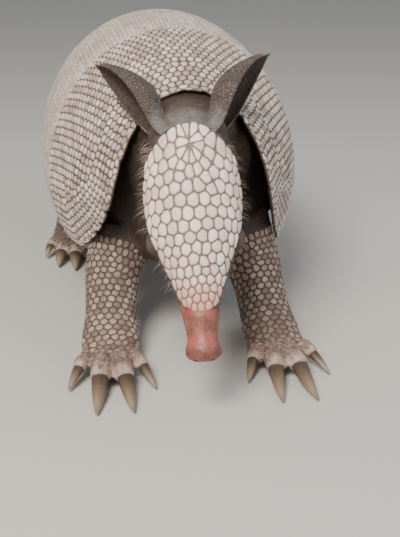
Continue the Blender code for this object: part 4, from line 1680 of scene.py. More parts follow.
def cut_forms():
    """What is taken out of the skin: the mouth, the eye sockets with the lids' gaps, nostrils."""
    forms = [mouth_form(side) for side, _ in SIDES]
    nose = (head_place(100, 0, 0) - head_place(90, 0, 0)).normalized()
    sideways = (head_place(100, 1, 0) - head_place(100, 0, 0)).normalized()
    for side, name in SIDES:
        centre, axes = eye_frame(side)
        socket = ball(f"socket_{name}", centre, (EYE_RADIUS + SOCKET_ROOM,) * 3, axes)
        opening = ball(f"opening_{name}", centre + axes[0] * OPENING_OUT * MM, OPENING, axes)
        combine(socket, opening, "UNION")
        forms.append(socket)
        forward, out, above = NOSTRIL_PLACE
        nostril = spot(head_place(forward, side * out, above))
        forms.append(ball(f"nostril_{name}", nostril, NOSTRIL, (nose, sideways, nose.cross(sideways)), 20))
    return joined(forms, "cut_forms")


def combine(piece, tool, operation):
    """A Boolean with another object, which is used up."""
    apply_modifier(piece, "BOOLEAN", operation=operation, object=tool, solver="EXACT")
    bpy.data.objects.remove(tool)


CUTTERS = cut_forms()
print("cutters:", len(CUTTERS.data.polygons), "faces")

# %% [markdown]
# The voxels are too coarse for a nostril or an eyelid, so the faces there are divided first. The
# Booleans come next. They number the vertices differently each time, so the mesh is then put in an
# order of its own, or bristles set by chance would stand elsewhere in every run.

# %% Ears on, openings cut
EYE_REFINED = 8 * MM  # faces this near are divided
NOSE_REFINED = 13 * MM
ORDER_LINE = Vector((0.613, 0.547, 0.571))


def refine_face(skin):
    """Smaller faces on the nose and round the eyes, where the finest shapes are."""
    pick(skin)
    tip = spot(head_place(102.5, 0, 0))
    eyes = [eye_frame(side)[0] for side, _ in SIDES]
    for face in skin.data.polygons:
        middle = face.center
        near_eye = min((middle - eye).length for eye in eyes) < EYE_REFINED
        face.select = near_eye or (middle - tip).length < NOSE_REFINED
    bpy.ops.object.mode_set(mode="EDIT")
    bpy.ops.mesh.select_mode(type="FACE")
    bpy.ops.mesh.subdivide(number_cuts=1, smoothness=0.6)
    bpy.ops.object.mode_set(mode="OBJECT")


def put_in_order(skin):
    """Number the vertices and faces along a slanting line."""
    form = bmesh.new()
    form.from_mesh(skin.data)
    form.verts.sort(key=lambda vertex: vertex.co.dot(ORDER_LINE))
    form.faces.sort(key=lambda face: face.calc_center_median().dot(ORDER_LINE))
    form.to_mesh(skin.data)
    form.free()


refine_face(SKIN)
combine(SKIN, EARS, "UNION")
combine(SKIN, CUTTERS, "DIFFERENCE")
edit_all(SKIN, bpy.ops.mesh.fill_holes, sides=6)  # a Boolean can leave a pinhole
put_in_order(SKIN)
rest_on_floor(SKIN)
print("skin with ears and openings:", len(SKIN.data.polygons), "faces")

# %% [markdown]
# The colours of the skin change from part to part: pink on the snout, pale on the toes, grey on
# the ears and dark on the throat. Each region is a soft-edged patch of the body. They are painted
# in turn on a colour attribute, which the skin's finish then breaks up.

# %% Colours of the skin
BELLY = "#66534a"
CHEEK = "#54473f"
THROAT = "#43372f"
NAPE = "#72706f"
SNOUT = "#84564a"
NOSE_TIP = "#8c4b49"
EAR_BACK = "#6a5f5a"
EAR_INSIDE = "#4b3c34"
EAR_RIM = "#9c8f87"
LEG = "#5b4c44"
HAND = "#6b5a4f"
TOE = "#94796d"
CUTICLE = "#a8958a"
HIND_LEG = "#4d4039"
SHADED = "#3b2e27"
RAW_SPOT = "#96493f"
BROWN_SPOT = "#6d4436"


def fade(values, start, width):
    """0 before start, 1 after start + width, and smooth between, for a whole row of numbers."""
    share = np.clip((values - start) / width, 0, 1)
    return share * share * (3 - 2 * share)


PLACES = (vertex_rows(SKIN, "co") - np.array(SHIFT)) / MM
NORMALS = vertex_rows(SKIN, "normal")
SPECK = np.array([noise.noise(Vector(place) * 0.22) for place in PLACES])
HIDE = np.empty((len(PLACES), 3))
HIDE[:] = linear(BELLY)[:3]
SMOOTH = np.zeros(len(PLACES))


def paint(code, amount):
    """Blend a colour into the hide, by a share for each vertex."""
    HIDE[:] += (np.array(linear(code)[:3]) - HIDE) * np.clip(amount, 0, 1)[:, None]


print("vertices to paint:", len(PLACES))

# %% [markdown]
# The limbs and the head are told apart by simple limits across the body, in millimetres. The
# snout's edge is moved to and fro by noise, for a straight edge between two colours looks painted.

# %% Painting the legs and the head


def paint_legs():
    """The shade under the front of the shell, the legs, the feet and the toes."""
    x, y, z = PLACES.T
    paint(SHADED, fade(-y, 40, 25) * fade(z, 40, 20))
    fore = y < 0
    on_leg = fade(np.abs(x), 16, 10) * fade(-z, -66, 10) * np.where(fore, fade(-y, 40, 15), fade(y, 45, 15))
    paint(LEG, on_leg * fore)
    paint(HIND_LEG, on_leg * ~fore)
    low = fade(-z, -30, 12) * np.where(fore, fade(-y, 76, 12), 1)
    paint(HAND, low * np.where(fore, 0.9, 0.5))
    toes = fade(-y, np.where(fore, 116, -86), 14) * fade(-z, -26, 8)
    paint(TOE, toes * np.where(fore, 0.9, 0.45))
    return toes * 0.5


def paint_head():
    """From the cheeks to the tip of the nose."""
    _, y, z = PLACES.T
    base = head_place(NAPE_START, 0, 0)
    nose = (head_place(NAPE_START + 10, 0, 0) - base).normalized()
    sideways = (head_place(NAPE_START, 1, 0) - base).normalized()
    forward = (PLACES - np.array(base)) @ np.array(nose) + NAPE_START
    above = (PLACES - np.array(base)) @ np.array(nose.cross(sideways))
    on_head = fade(-y, 102, 14) * fade(z, 20, 12) * fade(above, -24, 6)
    paint(CHEEK, on_head)
    paint(THROAT, on_head * fade(-above, 4, 8))
    paint(NAPE, fade(-y, 96, 10) * fade(above, 4, 8) * fade(-forward, -16, 10) * fade(z, 90, 15))
    snout = on_head * fade(forward + SPECK * 7 + above * 0.35, 70, 16)
    paint(SNOUT, snout)
    paint(NOSE_TIP, on_head * fade(forward + SPECK * 6, 95, 9) * 0.75)
    paint(RAW_SPOT, snout * fade(SPECK, -0.25, 0.9) * 0.8)
    paint(BROWN_SPOT, snout * fade(-SPECK, 0, 0.35) * 0.7)
    return snout


for smoothed in (paint_legs(), paint_head()):
    SMOOTH = np.maximum(SMOOTH, smoothed)
print("share of the vertices on smooth skin:", round(float((SMOOTH > 0.25).mean()), 3))

# %% [markdown]
# A paler rim of skin surrounds the root of each claw. An ear is grey behind, brown inside the
# trumpet and pale at its rim. Which face of the leaf a vertex lies on shows in its normal: it
# points away from the ear's axis on the back, and towards it inside.

# %% Painting the cuticles and the ears
AXIS_STEPS = 59
EAR_REACH = 16  # the skin this near the axis of an ear may belong to it
EAR_LOWEST = 115


def paint_cuticles():
    """The rims of skin round the claws."""
    for _, table, digits in LIMBS:
        for side, _ in SIDES:
            for digit in digits:
                root, across, _, _ = claw_frame(table[-1][:3], digit, side, 0)
                distance = np.linalg.norm(PLACES - np.array(root), axis=1)
                paint(CUTICLE, fade(-distance, -across.length * 2.1, across.length * 0.8))


def paint_ear(side):
    """One ear. It gives how much of its back each vertex is."""
    root, axis, mouth, near = ear_frame(side)
    arms = PLACES - np.array(root)
    a = arms @ np.array(axis) / EAR_LENGTH
    out = arms - np.outer(a * EAR_LENGTH, np.array(axis))
    distance = np.linalg.norm(out, axis=1)
    out /= np.maximum(distance, 1e-6)[:, None]
    facing = np.sum(NORMALS * out, axis=1)
    amount = fade(a, 0.02, 0.14) * (distance < EAR_REACH) * (PLACES[:, 2] > EAR_LOWEST)
    back = amount * fade(facing, -0.2, 0.4)
    paint(EAR_BACK, back)
    paint(EAR_INSIDE, amount * fade(-facing, -0.2, 0.4))
    stops = np.linspace(0, 1, AXIS_STEPS + 1)
    half, near_wrap, far_wrap = np.array([smooth_row(EAR_SECTIONS, stop) for stop in stops])[
        np.clip(a * AXIS_STEPS, 0, AXIS_STEPS).astype(int)].T
    angle = np.degrees(np.arctan2(out @ np.array(near), -(out @ np.array(mouth))))
    rim = np.radians(np.minimum(np.abs(angle - near_wrap), np.abs(angle + far_wrap))) * half
    paint(EAR_RIM, amount * fade(-rim, -1.6, 1.2))
    return back


paint_cuticles()
for side, _ in SIDES:
    SMOOTH -= paint_ear(side)
hide_rows = np.hstack([HIDE, np.ones((len(HIDE), 1))])
SKIN.data.attributes.new("hide", "FLOAT_COLOR", "POINT").data.foreach_set("color", hide_rows.ravel())
SKIN.data.attributes.new("smooth", "FLOAT", "POINT").data.foreach_set("value", SMOOTH)
print("mean colour of the skin, linear:", HIDE.mean(axis=0).round(3))

# %% [markdown]
# ## Skin
#
# Bare skin between scales is leather: pebbled with small bumps and crossed by fine wrinkles. The
# pebbles are cells of about a millimetre and a half, darker in the furrows between them.

# %% Pebbled skin


def pebbled_skin():
    """Leather with pebbles, mottled and specked over the painted colours."""
    made, tree, shader = new_material("pebbled skin")
    place = node(tree, "TexCoord").outputs["Object"]
    hide = node(tree, "Attribute", attribute_name="hide").outputs["Color"]
    smooth = node(tree, "Attribute", attribute_name="smooth").outputs["Fac"]
    # pebbles of a little over a millimetre, their rows bent by noise
    warp = node(tree, "TexNoise", {"Vector": place, "Scale": 300, "Detail": 2})
    bent = node(tree, "VectorMath", {0: warp.outputs["Color"], 1: (0.0016,) * 3},
                operation="MULTIPLY").outputs[0]
    moved = node(tree, "VectorMath", {0: place, 1: bent}).outputs[0]
    cells = node(tree, "TexVoronoi", {"Vector": moved, "Scale": 850},
                 feature="DISTANCE_TO_EDGE").outputs["Distance"]
    pebble = node(tree, "MapRange", {"Value": cells, "From Max": 0.3},
                  interpolation_type="SMOOTHSTEP").outputs[0]
    mottle = node(tree, "TexNoise", {"Vector": place, "Scale": 160, "Detail": 6,
                                     "Roughness": 0.7}).outputs["Fac"]
    tint = node(tree, "MapRange", {"Value": mottle, "From Min": 0.3, "From Max": 0.7,
                                   "To Min": 0.6, "To Max": 1.35}).outputs[0]
    depth = node(tree, "MapRange", {"Value": smooth, "From Min": -1, "To Min": 0.3, "To Max": 0.95})
    furrow = node(tree, "MapRange", {"Value": pebble, "To Min": depth.outputs[0],
                                     "To Max": 1.1}).outputs[0]
    both = node(tree, "Math", {0: tint, 1: furrow}, operation="MULTIPLY").outputs[0]
    colour = node(tree, "Mix", {0: 1.0, 6: hide, 7: both}, data_type="RGBA",
                  blend_type="MULTIPLY").outputs[2]
    # dark specks of some half a millimetre, one here and there
    specks = node(tree, "TexVoronoi", {"Vector": place, "Scale": 420})
    dots = node(tree, "MapRange", {"Value": specks.outputs["Distance"], "From Min": 0.12,
                                   "From Max": 0.26}).outputs[0]
    chosen = node(tree, "SeparateColor", {0: specks.outputs["Color"]}).outputs[0]
    rare = node(tree, "Math", {0: chosen, 1: 0.36}, operation="GREATER_THAN").outputs[0]
    clear = node(tree, "Math", {0: dots, 1: rare}, operation="MAXIMUM").outputs[0]
    keep = node(tree, "MapRange", {"Value": clear, "To Min": 0.3}).outputs[0]
    colour = node(tree, "Mix", {0: 1.0, 6: colour, 7: keep}, data_type="RGBA",
                  blend_type="MULTIPLY").outputs[2]
    wrinkles = node(tree, "TexNoise", {"Vector": place, "Scale": 900, "Detail": 5,
                                       "Roughness": 0.7}).outputs["Fac"]
    height = node(tree, "Math", {0: pebble, 1: wrinkles}).outputs[0]
    strength = node(tree, "MapRange", {"Value": smooth, "From Min": -1, "To Min": 1.0, "To Max": 0.2})
    bump = node(tree, "Bump", {"Height": height, "Strength": strength.outputs[0],
                               "Distance": 0.0004})
    dry = node(tree, "MapRange", {"Value": smooth, "From Min": -1, "To Min": 0.7, "To Max": 0.42})
    fill(shader, {"Base Color": colour, "Roughness": dry.outputs[0], "Normal": bump.outputs[0],
                  "Subsurface Weight": 0.08, "Subsurface Radius": (1.0, 0.4, 0.25),
                  "Subsurface Scale": 0.0015})
    return made


SKIN.data.materials.clear()
SKIN.data.materials.append(pebbled_skin())
SKIN.data.shade_smooth()
finish_piece(SKIN, "skin", "head", "neck", "trunk", "foreleg_left", "foreleg_right", "hindleg_left",
             "hindleg_right", "ear_left", "ear_right")

# %% [markdown]
# ## Eyes
#
# The eyes are small, dark and wet. Each is a ball with a low dome over the iris, as a real eye
# has. A very low roughness and a coat give the sharp little highlight that makes an eye look alive.

# %% Eyes
DOME_EDGE = 0.9  # the dome's edge: the cosine of its angle from the middle
DOME_HEIGHT = 0.2 * MM
WET_EYE, _, eye_shader = new_material("wet eye")
fill(eye_shader, {"Base Color": linear("#120b08"), "Roughness": 0.06, "IOR": 1.38,
                  "Coat Weight": 0.6})
for side, name in SIDES:
    centre, axes = eye_frame(side)
    eye = ball(f"eyeball_{name}", centre, (EYE_RADIUS,) * 3, axes, 40)
    for vertex in eye.data.vertices:
        arm = vertex.co - centre
        dome = ease((arm.normalized().dot(axes[0]) - DOME_EDGE) / 0.07)
        vertex.co += arm.normalized() * dome * DOME_HEIGHT
    eye.data.materials.append(WET_EYE)
    eye.data.shade_smooth()
    finish_piece(eye, "eye", f"eye_{name}")

# %% [markdown]
# ## Claws
#
# A claw is a cone of horn that curves down to the ground. Horn grows from the root, so its streaks
# run along it: they are noise drawn on the place along and around the claw and stretched twelve
# times. It is dark at the root, where soil sticks, and paler where it is worn.

# %% Claw horn
HORN_STOPS = ((0.0, "#4f4339"), (0.16, "#5b4e42"), (0.4, "#6f604f"), (0.8, "#8f806c"), (1.0, "#7f705d"))


def claw_horn():
    """Streaked horn that shines a little."""
    made, tree, shader = new_material("claw horn")
    place = node(tree, "TexCoord").outputs["Object"]
    along = node(tree, "Attribute", attribute_name="along").outputs["Fac"]
    around = node(tree, "Attribute", attribute_name="around").outputs["Fac"]
    streak_place = node(tree, "CombineXYZ", {0: around, 1: along}).outputs[0]
    stretch = node(tree, "Mapping", {"Vector": streak_place, "Scale": (26, 2.5, 1)})
    streaks = node(tree, "TexNoise", {"Vector": stretch.outputs[0], "Scale": 1,
                                      "Detail": 4, "Roughness": 0.6}).outputs["Fac"]
    ramp = node(tree, "ValToRGB", {"Fac": along})
    while len(ramp.color_ramp.elements) < len(HORN_STOPS):
        ramp.color_ramp.elements.new(0.5)
    for element, (position, colour) in zip(ramp.color_ramp.elements, HORN_STOPS):
        element.position = position
        element.color = linear(colour)
    shade = node(tree, "MapRange", {"Value": streaks, "From Min": 0.3, "From Max": 0.7,
                                    "To Min": 0.6, "To Max": 1.2}).outputs[0]
    colour = node(tree, "Mix", {0: 1.0, 6: ramp.outputs[0], 7: shade}, data_type="RGBA",
                  blend_type="MULTIPLY").outputs[2]
    # soil at the root, in specks of half a millimetre
    soil = node(tree, "TexNoise", {"Vector": place, "Scale": 1400, "Detail": 4,
                                   "Roughness": 0.75}).outputs["Fac"]
    root = node(tree, "MapRange", {"Value": along, "From Min": 0.1, "From Max": 0.55,
                                   "To Min": 0.16, "To Max": -0.08}).outputs[0]
    amount = node(tree, "Math", {0: soil, 1: root}).outputs[0]
    dirt = node(tree, "MapRange", {"Value": amount, "From Min": 0.55, "From Max": 0.66,
                                   "To Max": 0.8}).outputs[0]
    colour = node(tree, "Mix", {0: dirt, 6: colour, 7: linear("#3d3026")},
                  data_type="RGBA").outputs[2]
    bump = node(tree, "Bump", {"Height": streaks, "Strength": 0.35, "Distance": 0.0003})
    fill(shader, {"Base Color": colour, "Normal": bump.outputs[0], "Roughness": 0.42, "IOR": 1.54})
    return made


CLAW_HORN = claw_horn()
print("nodes in the horn:", len(CLAW_HORN.node_tree.nodes))

# %% [markdown]
# A flat grid has the right faces already for a claw. It is rolled up: across it runs the angle
# round the claw and along it the way from root to tip, each row shrunk to the size there. Below
# the middle it is pressed in, for a claw is flatter underneath. Merging closes the seam and ends.

# %% Claws
CLAW_SIDES = 24
CLAW_RINGS = 28
CLAW_ROOT = -0.16  # a claw begins inside its toe
CLAW_ENDS = 0.06  # the share at each end that is rounded
CLAW_BELOW = (0.62, 0.25)  # depth below the middle at the root, and how much less at the tip


def claw(kind, foot, digit, side, name):
    """A claw from a rolled-up grid."""
    bpy.ops.mesh.primitive_grid_add(x_subdivisions=CLAW_SIDES, y_subdivisions=CLAW_RINGS, size=1)
    horn = bpy.context.object
    horn.name = f"{kind}_{name}_horn_{digit[0]}"
    along = horn.data.attributes.new("along", "FLOAT", "POINT")
    around = horn.data.attributes.new("around", "FLOAT", "POINT")
    for vertex in horn.data.vertices:
        share = vertex.co.y + 0.5
        t = CLAW_ROOT + (1 - CLAW_ROOT) * share
        angle = 2 * pi * (vertex.co.x + 0.5)
        middle, across, up, _ = claw_frame(foot, digit, side, t)
        end = sqrt(max(0, 1 - max(0, (t - 1 + CLAW_ENDS) / CLAW_ENDS) ** 2))
        root = sqrt(max(0, 1 - max(0, (CLAW_ENDS - share) / CLAW_ENDS) ** 2))
        across = across * end * root
        up = up * end * root
        pressed = CLAW_BELOW[0] - CLAW_BELOW[1] * ease(t) * abs(sin(angle))
        below = 1 if sin(angle) > 0 else pressed
        along.data[vertex.index].value = max(0, t)
        around.data[vertex.index].value = abs(vertex.co.x) * 2
        vertex.co = spot(middle + across * cos(angle) + up * sin(angle) * below)
    edit_all(horn, bpy.ops.mesh.remove_doubles, threshold=0.02 * MM)
    edit_all(horn, bpy.ops.mesh.normals_make_consistent, inside=False)
    rest_on_floor(horn)
    horn.data.materials.append(CLAW_HORN)
    horn.data.shade_smooth()
    return finish_piece(horn, "claw", f"{kind}_{name}_claw_{digit[0]}")


for kind, table, digits in LIMBS:
    for side, name in SIDES:
        for digit in digits:
            claw(kind, table[-1][:3], digit, side, name)

# %% [markdown]
# ## Scales on the legs, feet and belly
#
# The legs carry rows of flat scales set in the skin, pale on the forelegs and dark on the hind
# legs, with rows of wide ones down the toes. The belly has rows of round warts. They are laid out
# in the same way as the scutes, on the skin itself, but each stays apart from its neighbours.

# %% Finishes of the scales, and the way to the skin
FORE_SCALE = keratin("pale leg scale", "#a08e82", "#6b5b51", "#43352e", "#584b42", 0.5)
HIND_SCALE = keratin("dark leg scale", "#83746b", "#5e514a", "#352921", "#4b3f38", 0.5)
BELLY_WART = keratin("belly wart", "#84705f", "#665347", "#3d3028", "#55463c", 0.55)
SKIN_TREE = BVHTree.FromObject(SKIN, bpy.context.evaluated_depsgraph_get())


def on_skin(point):
    """The nearest place on the skin and the skin's normal there."""
    place, normal, _, _ = SKIN_TREE.find_nearest(point)
    return place, normal


print("the crown's skin is at", on_skin(spot(head_place(0, 0, 20)))[0])

# %% [markdown]
# A leg's seeds stand in staggered rings, like bricks in a round chimney. A foot is too uneven for
# rings, so its seeds are the skin's own vertices in mixed order, of which `spaced` keeps the ones
# that are far enough apart.

# %% Seeds of scales
SKIN_NEAR = 3 * MM  # a seed lies no farther than this from the leg's plain form
LEAST_FACING = 0.55  # and the skin there faces outwards as much as this
SOLE_HEIGHT = 3.5 * MM
LIMB_STOPS = 60


def limb_seeds(table, side, pitch, row_pitch, start, end):
    """Seeds in staggered rings round a limb, on the skin, and the ones that only make room.

    Those are the ones that the trunk hides, and the top ring.
    """
    rows = by_length(table)
    length = running_lengths([limb_frame(rows, step / LIMB_STOPS)[0] for step in range(LIMB_STOPS + 1)])[-1]
    seeds = []
    hidden = []
    share = start
    row = 0
    while share < end:
        middle, across, along, _ = limb_frame(rows, share)
        count = round(pi * (across.length + along.length) / pitch)
        for step in range(count):
            angle = 2 * pi * (step + row % 2 / 2) / count
            arm = mirrored(across * cos(angle) + along * sin(angle), side)
            point = spot(mirrored(middle, side) + arm)
            place, normal = on_skin(point)
            near = (place - point).length < SKIN_NEAR and normal.dot(arm.normalized()) > LEAST_FACING
            (seeds if near and row > 0 else hidden).append(place)
        share += row_pitch / length
        row += 1
    return seeds, hidden


def foot_seeds(table, digits, side, reach):
    """Places all over a foot and its toes, in no order, away from the claws and the floor."""
    foot = spot(mirrored(Vector(table[-1][:3]), side))
    roots = [claw_frame(table[-1][:3], digit, side, 0) for digit in digits]
    places = []
    for vertex in SKIN.data.vertices:
        place = vertex.co
        if (place - foot).length < reach * MM and place.z > SOLE_HEIGHT and vertex.normal.z > -0.15:
            if all((place - spot(root)).length > across.length * 1.7 * MM
                   for root, across, _, _ in roots):
                places.append(place.copy())
    RANDOM.shuffle(places)
    return places


print("rings begin", round(limb_frame(by_length(FORELEG), 0.09)[0].z), "mm above the floor")

# %% [markdown]
# Each scale is drawn in the room round its seed, then held back to a little less than the pitch so
# that bare skin shows between scales. Slivers at the edge of the rows are left out.

# %% Scales from seeds
SCALE_THICK = 0.8
SCALE_ROUNDING = 0.1
SCALE_REACH = 0.64  # the farthest a scale's corner lies from its seed, in pitches
SCALE_GAP = 0.97
SCALE_LIFT = 0.1 * MM
LEAST_AREA = 0.5  # in squares of a pitch; smaller ones are left out
LEG_RINGS = (0.09, 0.9)  # where the rings start and end along a leg


def scales(name, seeds, hidden, pitch, insets, finish):
    """A raised scale on the skin at each seed, all in one piece. The hidden seeds only make room."""
    outlines = scute_outlines(seeds + hidden, [], pitch * MM, on_skin, 1)
    apart = []
    for outline in outlines[:len(seeds)]:
        middle = sum(outline, Vector()) / len(outline)
        middle, normal = on_skin(middle)
        near = []
        for corner in outline:
            arm = corner - middle
            reach = min(arm.length, SCALE_REACH * pitch * MM) * SCALE_GAP
            near.append(on_skin(middle + arm.normalized() * reach)[0] + normal * SCALE_LIFT)
        corners = zip(near, near[1:] + near[:1])
        area = sum((b - middle).cross(c - middle).length for b, c in corners) / 2
        if area > LEAST_AREA * (pitch * MM) ** 2:
            apart.append(near)
    sheet = outline_sheet(name, apart, 1e-7)
    raise_scutes(sheet, SCALE_THICK, insets, finish, finish, SCALE_ROUNDING)
    rest_on_floor(sheet)
    return finish_piece(sheet, "skin")


def leg_scales(kind, table, digits, pitch, row_pitch, foot_reach, insets, finish):
    """The scales of a pair of legs, feet included."""
    seeds = []
    hidden = []
    for side, _ in SIDES:
        rings, covered = limb_seeds(table, side, pitch, row_pitch, *LEG_RINGS)
        seeds += spaced(rings + foot_seeds(table, digits, side, foot_reach), pitch * SCUTE_ROOM * MM)
        hidden += covered
    return scales(f"{kind}_scales", seeds, hidden, pitch, insets, finish)


leg_scales("foreleg", FORELEG, FORE_DIGITS, 4.0, 3.7, 36, [(0.25, 0.3, 0.6), (0.4, 0.15, 1)],
           FORE_SCALE)
leg_scales("hindleg", HINDLEG, HIND_DIGITS, 4.2, 4.6, 38, [(0.25, 0.25, 0.6), (0.4, 0.1, 1)],
           HIND_SCALE)

# %% [markdown]
# The belly's warts stand in staggered rows. Each seed is found by looking straight up from the
# floor, and it is kept where the skin faces down: on the belly, not on the inside of a leg.

# %% Warts on the belly
BELLY_ROWS = 26
BELLY_COLUMNS = 17
BELLY_START = -50
WART_PITCHES = (5.2, 6)  # across and along
WART_PITCH = 3.2
BELLY_LOWEST = 26 * MM


def belly_seeds():
    """Seeds in rows across the belly."""
    seeds = []
    for row in range(BELLY_ROWS):
        for column in range(BELLY_COLUMNS):
            across = (column - (BELLY_COLUMNS - 1) / 2 + row % 2 / 2) * WART_PITCHES[0]
            point = Vector((across, BELLY_START + row * WART_PITCHES[1], 0))
            place, normal, _, _ = SKIN_TREE.ray_cast(spot(point), Vector((0, 0, 1)))
            if place and normal.z < -0.6 and place.z > BELLY_LOWEST:
                seeds.append(place)
    return seeds


scales("belly_warts", belly_seeds(), [], WART_PITCH, [(0.3, 0.35, 0.7)], BELLY_WART)

# %% [markdown]
# ## Bristles
#
# An armadillo is almost hairless: a few stiff pale bristles stand on the cheeks and the throat,
# between the scales of the legs, and in rows on the belly. Each is a thin three-sided spike that
# bends. Every bristle has a small patch of its own on a map, at the place of its root on an
# unwrap of the skin.

# %% Bristle horn, and a map of the skin
BRISTLE, bristle_tree, bristle_shader = new_material("pale bristle")
bristle_place = node(bristle_tree, "TexCoord").outputs["Object"]
bristle_noise = node(bristle_tree, "TexNoise", {"Vector": bristle_place, "Scale": 500})
bristle_mix = node(bristle_tree, "Mix", {0: bristle_noise.outputs["Fac"],
                                         6: linear("#8f8073"), 7: linear("#cbbfb2")},
                   data_type="RGBA")
fill(bristle_shader, {"Base Color": bristle_mix.outputs[2], "Roughness": 0.5})
MAP_SHARE = 0.06  # of the skin's faces, in the coarse copy


def skin_map():
    """A coarse copy of the skin, unwrapped, to look the roots' places up on."""
    copy = SKIN.copy()
    copy.data = SKIN.data.copy()
    bpy.context.scene.collection.objects.link(copy)
    apply_modifier(copy, "DECIMATE", ratio=MAP_SHARE)
    edit_all(copy, bpy.ops.uv.smart_project, angle_limit=radians(66), island_margin=0.002)
    tree = BVHTree.FromObject(copy, bpy.context.evaluated_depsgraph_get())
    layer = copy.data.uv_layers.active.data
    centres = []
    for face in copy.data.polygons:
        corners = [layer[index].uv for index in face.loop_indices]
        centres.append(sum(corners, Vector((0, 0))) / len(corners))
    bpy.data.objects.remove(copy)
    return tree, centres


MAP_TREE, MAP_CENTRES = skin_map()
print("faces on the map:", len(MAP_CENTRES))

# %% [markdown]
# A region is given by a weight for each place: how likely a bristle is to grow there. Places are
# drawn at random from the skin's faces until enough of them have grown one.

# %% Roots of bristles
MOST_TRIES = 60000
EYES = [(eye_frame(side)[0] - SHIFT) / MM for side, _ in SIDES]
EYE_CLEAR = 9  # no bristles this near an eye


def region_roots(count, weight):
    """Random places on the skin with their normals, where weight(place in mm, normal) is high."""
    mesh = SKIN.data
    roots = []
    tries = 0
    size = len(mesh.polygons)
    while len(roots) < count and tries < MOST_TRIES:
        tries += 1
        face = mesh.polygons[RANDOM.randrange(size)]
        place = (face.center - SHIFT) / MM
        if RANDOM.random() < weight(place, face.normal):
            corner = mesh.vertices[min(face.vertices)].co
            roots.append((face.center.lerp(corner, RANDOM.random()), face.normal.copy()))
    return roots


def cheek_weight(place, normal):
    """Cheeks and throat, but not the shield's side and not the eyes."""
    clear = min((place - eye).length for eye in EYES) > EYE_CLEAR
    on_cheek = place.y < -108 and 58 < place.z < 122 and abs(place.x) > 7 and normal.z < 0.7
    return 0.5 * float(clear and on_cheek)


def leg_weight(place, normal):
    """The legs below the flanks."""
    return float(abs(place.x) > 22 and 8 < place.z < 60) * 0.35


def belly_weight(place, normal):
    """The underside of the trunk."""
    return float(-60 < place.y < 100 and place.z < 52 and abs(place.x) < 45 and normal.z < -0.4)


print("faces to choose from:", len(SKIN.data.polygons))

# %% [markdown]
# A bristle takes a few steps from its root, straight up at first and then more and more the way
# the hair lies. The leaning differs from one to the next, or they would look combed.

# %% Bristles
BRISTLE_STEPS = 4
BRISTLE_WIDTH = 0.07 * MM  # half the thickness at the root
BRISTLE_TAPER = 0.85
ROOT_DEPTH = 0.2 * MM  # the root starts this far inside the skin
UNEVEN = 0.4
PATCH = 0.003  # the size of a bristle's own patch on the map


def bristle_patches(mesh, patches):
    """Lay each bristle's faces on its patch; patches has their middles and their last faces."""
    layer = mesh.uv_layers.new(name="OFBake").data
    start = 0
    for middle, end in patches:
        first = mesh.polygons[start].vertices[0]
        for face in mesh.polygons[start:end]:
            for index in face.loop_indices:
                row, side = divmod(mesh.loops[index].vertex_index - first, 3)
                layer[index].uv = (middle.x + (side / 2 - 0.5) * PATCH,
                                   middle.y + (row / BRISTLE_STEPS - 0.5) * PATCH)
        start = end


def bristles(name, roots, length, flow):
    """Thin bent spikes on roots. flow is the way they lean, length their least and most."""
    points = []
    faces = []
    patches = []
    for root, normal in roots:
        reach = RANDOM.uniform(*length) * MM
        lean = (Vector(flow) + Vector([RANDOM.uniform(-UNEVEN, UNEVEN) for _ in range(3)])).normalized()
        across = normal.cross(lean)
        across = (across if across.length > 0.1 else normal.orthogonal()).normalized()
        first = len(points)
        place = root - normal * ROOT_DEPTH
        for step in range(BRISTLE_STEPS + 1):
            share = step / BRISTLE_STEPS
            way = (normal * (1 - share) + lean * (0.35 + 0.8 * share)).normalized()
            width = BRISTLE_WIDTH * (1 - BRISTLE_TAPER * share)
            for angle in turns(3):
                edge = across * cos(angle) + way.cross(across) * sin(angle)
                points.append(place + edge * width)
            place = place + way * reach / BRISTLE_STEPS
        for step in range(BRISTLE_STEPS):
            for side in range(3):
                a = first + step * 3 + side
                b = first + step * 3 + (side + 1) % 3
                faces.append((a, b, b + 3, a + 3))
        faces += [(first + 2, first + 1, first), tuple(len(points) - 3 + side for side in range(3))]
        middle = MAP_CENTRES[MAP_TREE.find_nearest(root)[2]]
        patches.append((middle, len(faces)))
    made = new_piece(name, points, faces)
    bristle_patches(made.data, patches)
    made.data.materials.append(BRISTLE)
    made.data.shade_smooth()
    rest_on_floor(made)
    return finish_piece(made, "skin")


bristles("cheek_bristles", region_roots(700, cheek_weight), (4, 9), (0, 0.7, -0.9))
bristles("leg_bristles", region_roots(900, leg_weight), (2.5, 5), (0, -0.2, -1))
bristles("belly_bristles", region_roots(500, belly_weight), (5, 10), (0, 0.9, -0.5))

# %% [markdown]
# ## Floor, light and camera
#
# The floor is a wide plane of matt paint. It belongs to the stage and not to the armadillo.

# %% Floor
bpy.ops.mesh.primitive_plane_add(size=40, location=(0, 0, 0))
floor = bpy.context.object
floor.name = "floor"
PAINT, _, paint_shader = new_material("matt pale paint")
fill(paint_shader, {"Base Color": linear("#bdbdba"), "Roughness": 0.8})
floor.data.materials.append(PAINT)
print("floor:", tuple(floor.dimensions))

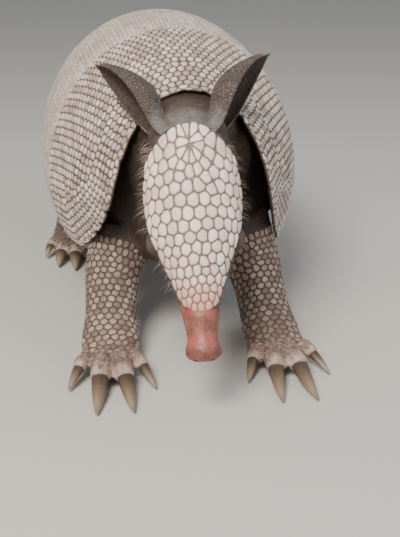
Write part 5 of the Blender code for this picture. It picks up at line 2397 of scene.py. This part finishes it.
# %% [markdown]
# The camera stands in front of the head, a little above it and to its right, and looks down at it.
# A long lens keeps the snout from looking too big. The shift moves the view without turning the
# camera, as a view camera does.

# %% Camera
CAMERA_TARGET = Vector((-0.004, -0.3112, 0.080))
CAMERA_DISTANCE = 0.42
CAMERA_TURN = radians(8)
CAMERA_DROP = radians(18)
CAMERA_LOOK = Vector((sin(CAMERA_TURN) * cos(CAMERA_DROP),
                      cos(CAMERA_TURN) * cos(CAMERA_DROP), -sin(CAMERA_DROP)))
lens = bpy.data.cameras.new("camera")
lens.sensor_fit = "HORIZONTAL"
lens.sensor_width = 36
lens.lens = 79.38
lens.shift_x = 0.0125
lens.shift_y = -0.07375
lens.clip_start = 0.01
CAMERA = bpy.data.objects.new("camera", lens)
bpy.context.scene.collection.objects.link(CAMERA)
CAMERA.location = CAMERA_TARGET - CAMERA_LOOK * CAMERA_DISTANCE
CAMERA.rotation_euler = CAMERA_LOOK.to_track_quat("-Z", "Y").to_euler()
bpy.context.scene.camera = CAMERA
print("camera at", tuple(round(part, 3) for part in CAMERA.location))

# %% [markdown]
# An even pale sky lights everything. A large warm lamp on the left draws the scutes' relief, and a
# weak cool one on the right keeps the shadows open.

# %% Light
world = bpy.data.worlds.new("studio")
bpy.context.scene.world = world
world.use_nodes = True
fill(world.node_tree.nodes["Background"], {"Color": linear("#e4e5e6"), "Strength": 0.55})


def soft_light(name, place, aim, size, power, colour):
    """A square lamp, in metres and watts, that shines at a point."""
    data = bpy.data.lights.new(name, "AREA")
    data.size = size
    data.energy = power
    data.color = linear(colour)[:3]
    light = bpy.data.objects.new(name, data)
    bpy.context.scene.collection.objects.link(light)
    light.location = place
    light.rotation_euler = (Vector(aim) - Vector(place)).to_track_quat("-Z", "Y").to_euler()


soft_light("key", (-0.5, -1.15, 1.15), (0, -0.25, 0.1), 0.6, 37, "#fff3e6")
soft_light("fill", (1.1, -0.8, 0.8), (0, -0.2, 0.1), 1.0, 6, "#eef3fb")
print("lamps:", len(bpy.data.lights))
